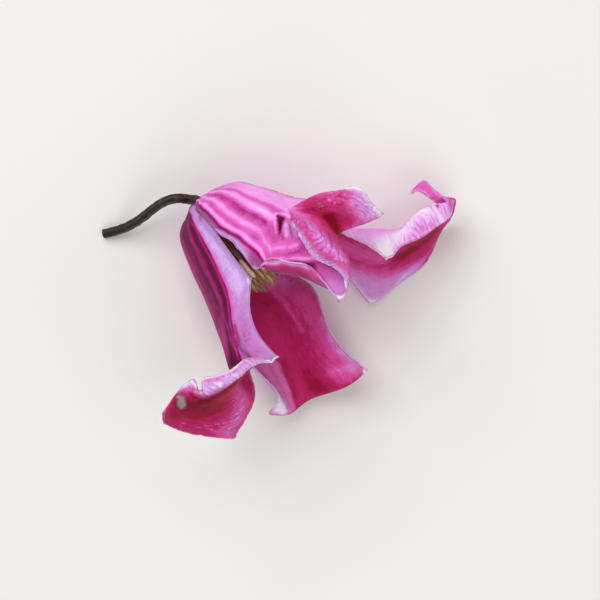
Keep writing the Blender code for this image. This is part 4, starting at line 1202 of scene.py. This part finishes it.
# The carpels: one on the axis and the rest round it, each a swollen ovary that runs out into a thin style.
def growCarpels(grain):
    material = makeRodMaterial("carpelSkin", carpel, grain)
    seat = stalk["seat"]
    size, lumpLength, lumpBreadth = carpel["lumps"]
    atOvary, onStyle = carpel["tone"]
    angle = 2 * np.pi * np.arange(carpel["sides"]) / carpel["sides"]
    for number in range(carpel["count"]):
        onAxis = number == 0
        foot = seat[-1][0] + stamen["gap"] if onAxis else seat[-2][0] + 0.5
        start = 0 if onAxis else np.interp(foot, *zip(*seat)) + stamen["gap"] + carpel["ovary"]
        reach = 0 if onAxis else carpel["reach"]
        turn = 2 * math.pi * number / (carpel["count"] - 1)
        stations = [(foot, start), (foot + 0.7, 0.5 * (start + reach))]
        stations += [(foot + further, reach) for further in (2, 3.2, 8, carpel["length"])]
        path, at, knots = smoothPath(bellRod(turn, stations), carpel["steps"])
        body = easeBetween(at, -1.0, 0.8) * (1 - easeBetween(at, knots[2], knots[3] + 1.0))
        thick = carpel["style"] + (carpel["ovary"] - carpel["style"]) * body
        thick = thick * (1 - 0.5 * easeBetween(at, knots[-1] - 4, knots[-1]))
        lumps = softNoise(at[:, None] / lumpLength, angle[None] * lumpBreadth, 20 + number)
        widths = drawInEnds(thick[:, None] * (1 + size * lumps))
        tone = atOvary + onStyle * easeBetween(at, 2, 6)[:, None] + np.zeros_like(widths)
        rodPiece(f"carpel{number + 1}", path, widths, awayFromAxis(turn), material, f"carpel_{number + 1}",
                 tone)
    print("carpels grown")


growStalk(grain)
growStamens(grain)
growCarpels(grain)


# places in mm from the middle of the floor, powers in watts
stage = {
    "lookAt": (4.4, 1.8, 20.0),
    "cameraHeight": 1200,
    "lens": 360,
    "floorSide": 3000,
    "floor": "#e9e8e4",
    "floorRoughness": 0.9,
    "nearest": 0.01,  # m, where the camera begins to see
    "key": {"place": (-280, 460, 820), "side": 700, "power": 5.8},
    "fill": {"place": (220, -380, 700), "side": 700, "power": 2.4},
    "sky": 0.4,
}


def inMetres(place):
    return Vector([c * mm for c in place])


def aimAt(obj, target):
    direction = target - obj.location
    obj.rotation_euler = direction.to_track_quat("-Z", "Y").to_euler()


def addLamp(name, look):
    lamp = bpy.data.lights.new(name, "AREA")
    lamp.size = look["side"] * mm
    lamp.energy = look["power"]
    holder = bpy.data.objects.new(name, lamp)
    holder.location = inMetres(look["place"])
    scene.collection.objects.link(holder)
    aimAt(holder, inMetres(stage["lookAt"]))


def setStage():
    half = 0.5 * stage["floorSide"]
    corners = np.array([(-half, -half, 0), (half, -half, 0), (half, half, 0), (-half, half, 0)], float)
    material, _, shader = newMaterial("paperFloor")
    shader.inputs["Base Color"].default_value = hexColour(stage["floor"])
    shader.inputs["Roughness"].default_value = stage["floorRoughness"]
    fillMesh("floor", corners, [np.array([[0, 1, 2, 3]])], material)
    world = bpy.data.worlds.new("studio")
    world.use_nodes = True
    sky = world.node_tree.nodes["Background"]
    sky.inputs["Color"].default_value = (1, 1, 1, 1)
    sky.inputs["Strength"].default_value = stage["sky"]
    scene.world = world
    addLamp("key", stage["key"])
    addLamp("fill", stage["fill"])
    camera = bpy.data.cameras.new("camera")
    camera.lens = stage["lens"]
    camera.clip_start = stage["nearest"]
    holder = bpy.data.objects.new("camera", camera)
    x, y, z = stage["lookAt"]
    holder.location = inMetres((x, y, z + stage["cameraHeight"]))
    scene.collection.objects.link(holder)
    scene.camera = holder
    scene.view_settings.view_transform = "Standard"
    print("stage set")


setStage()
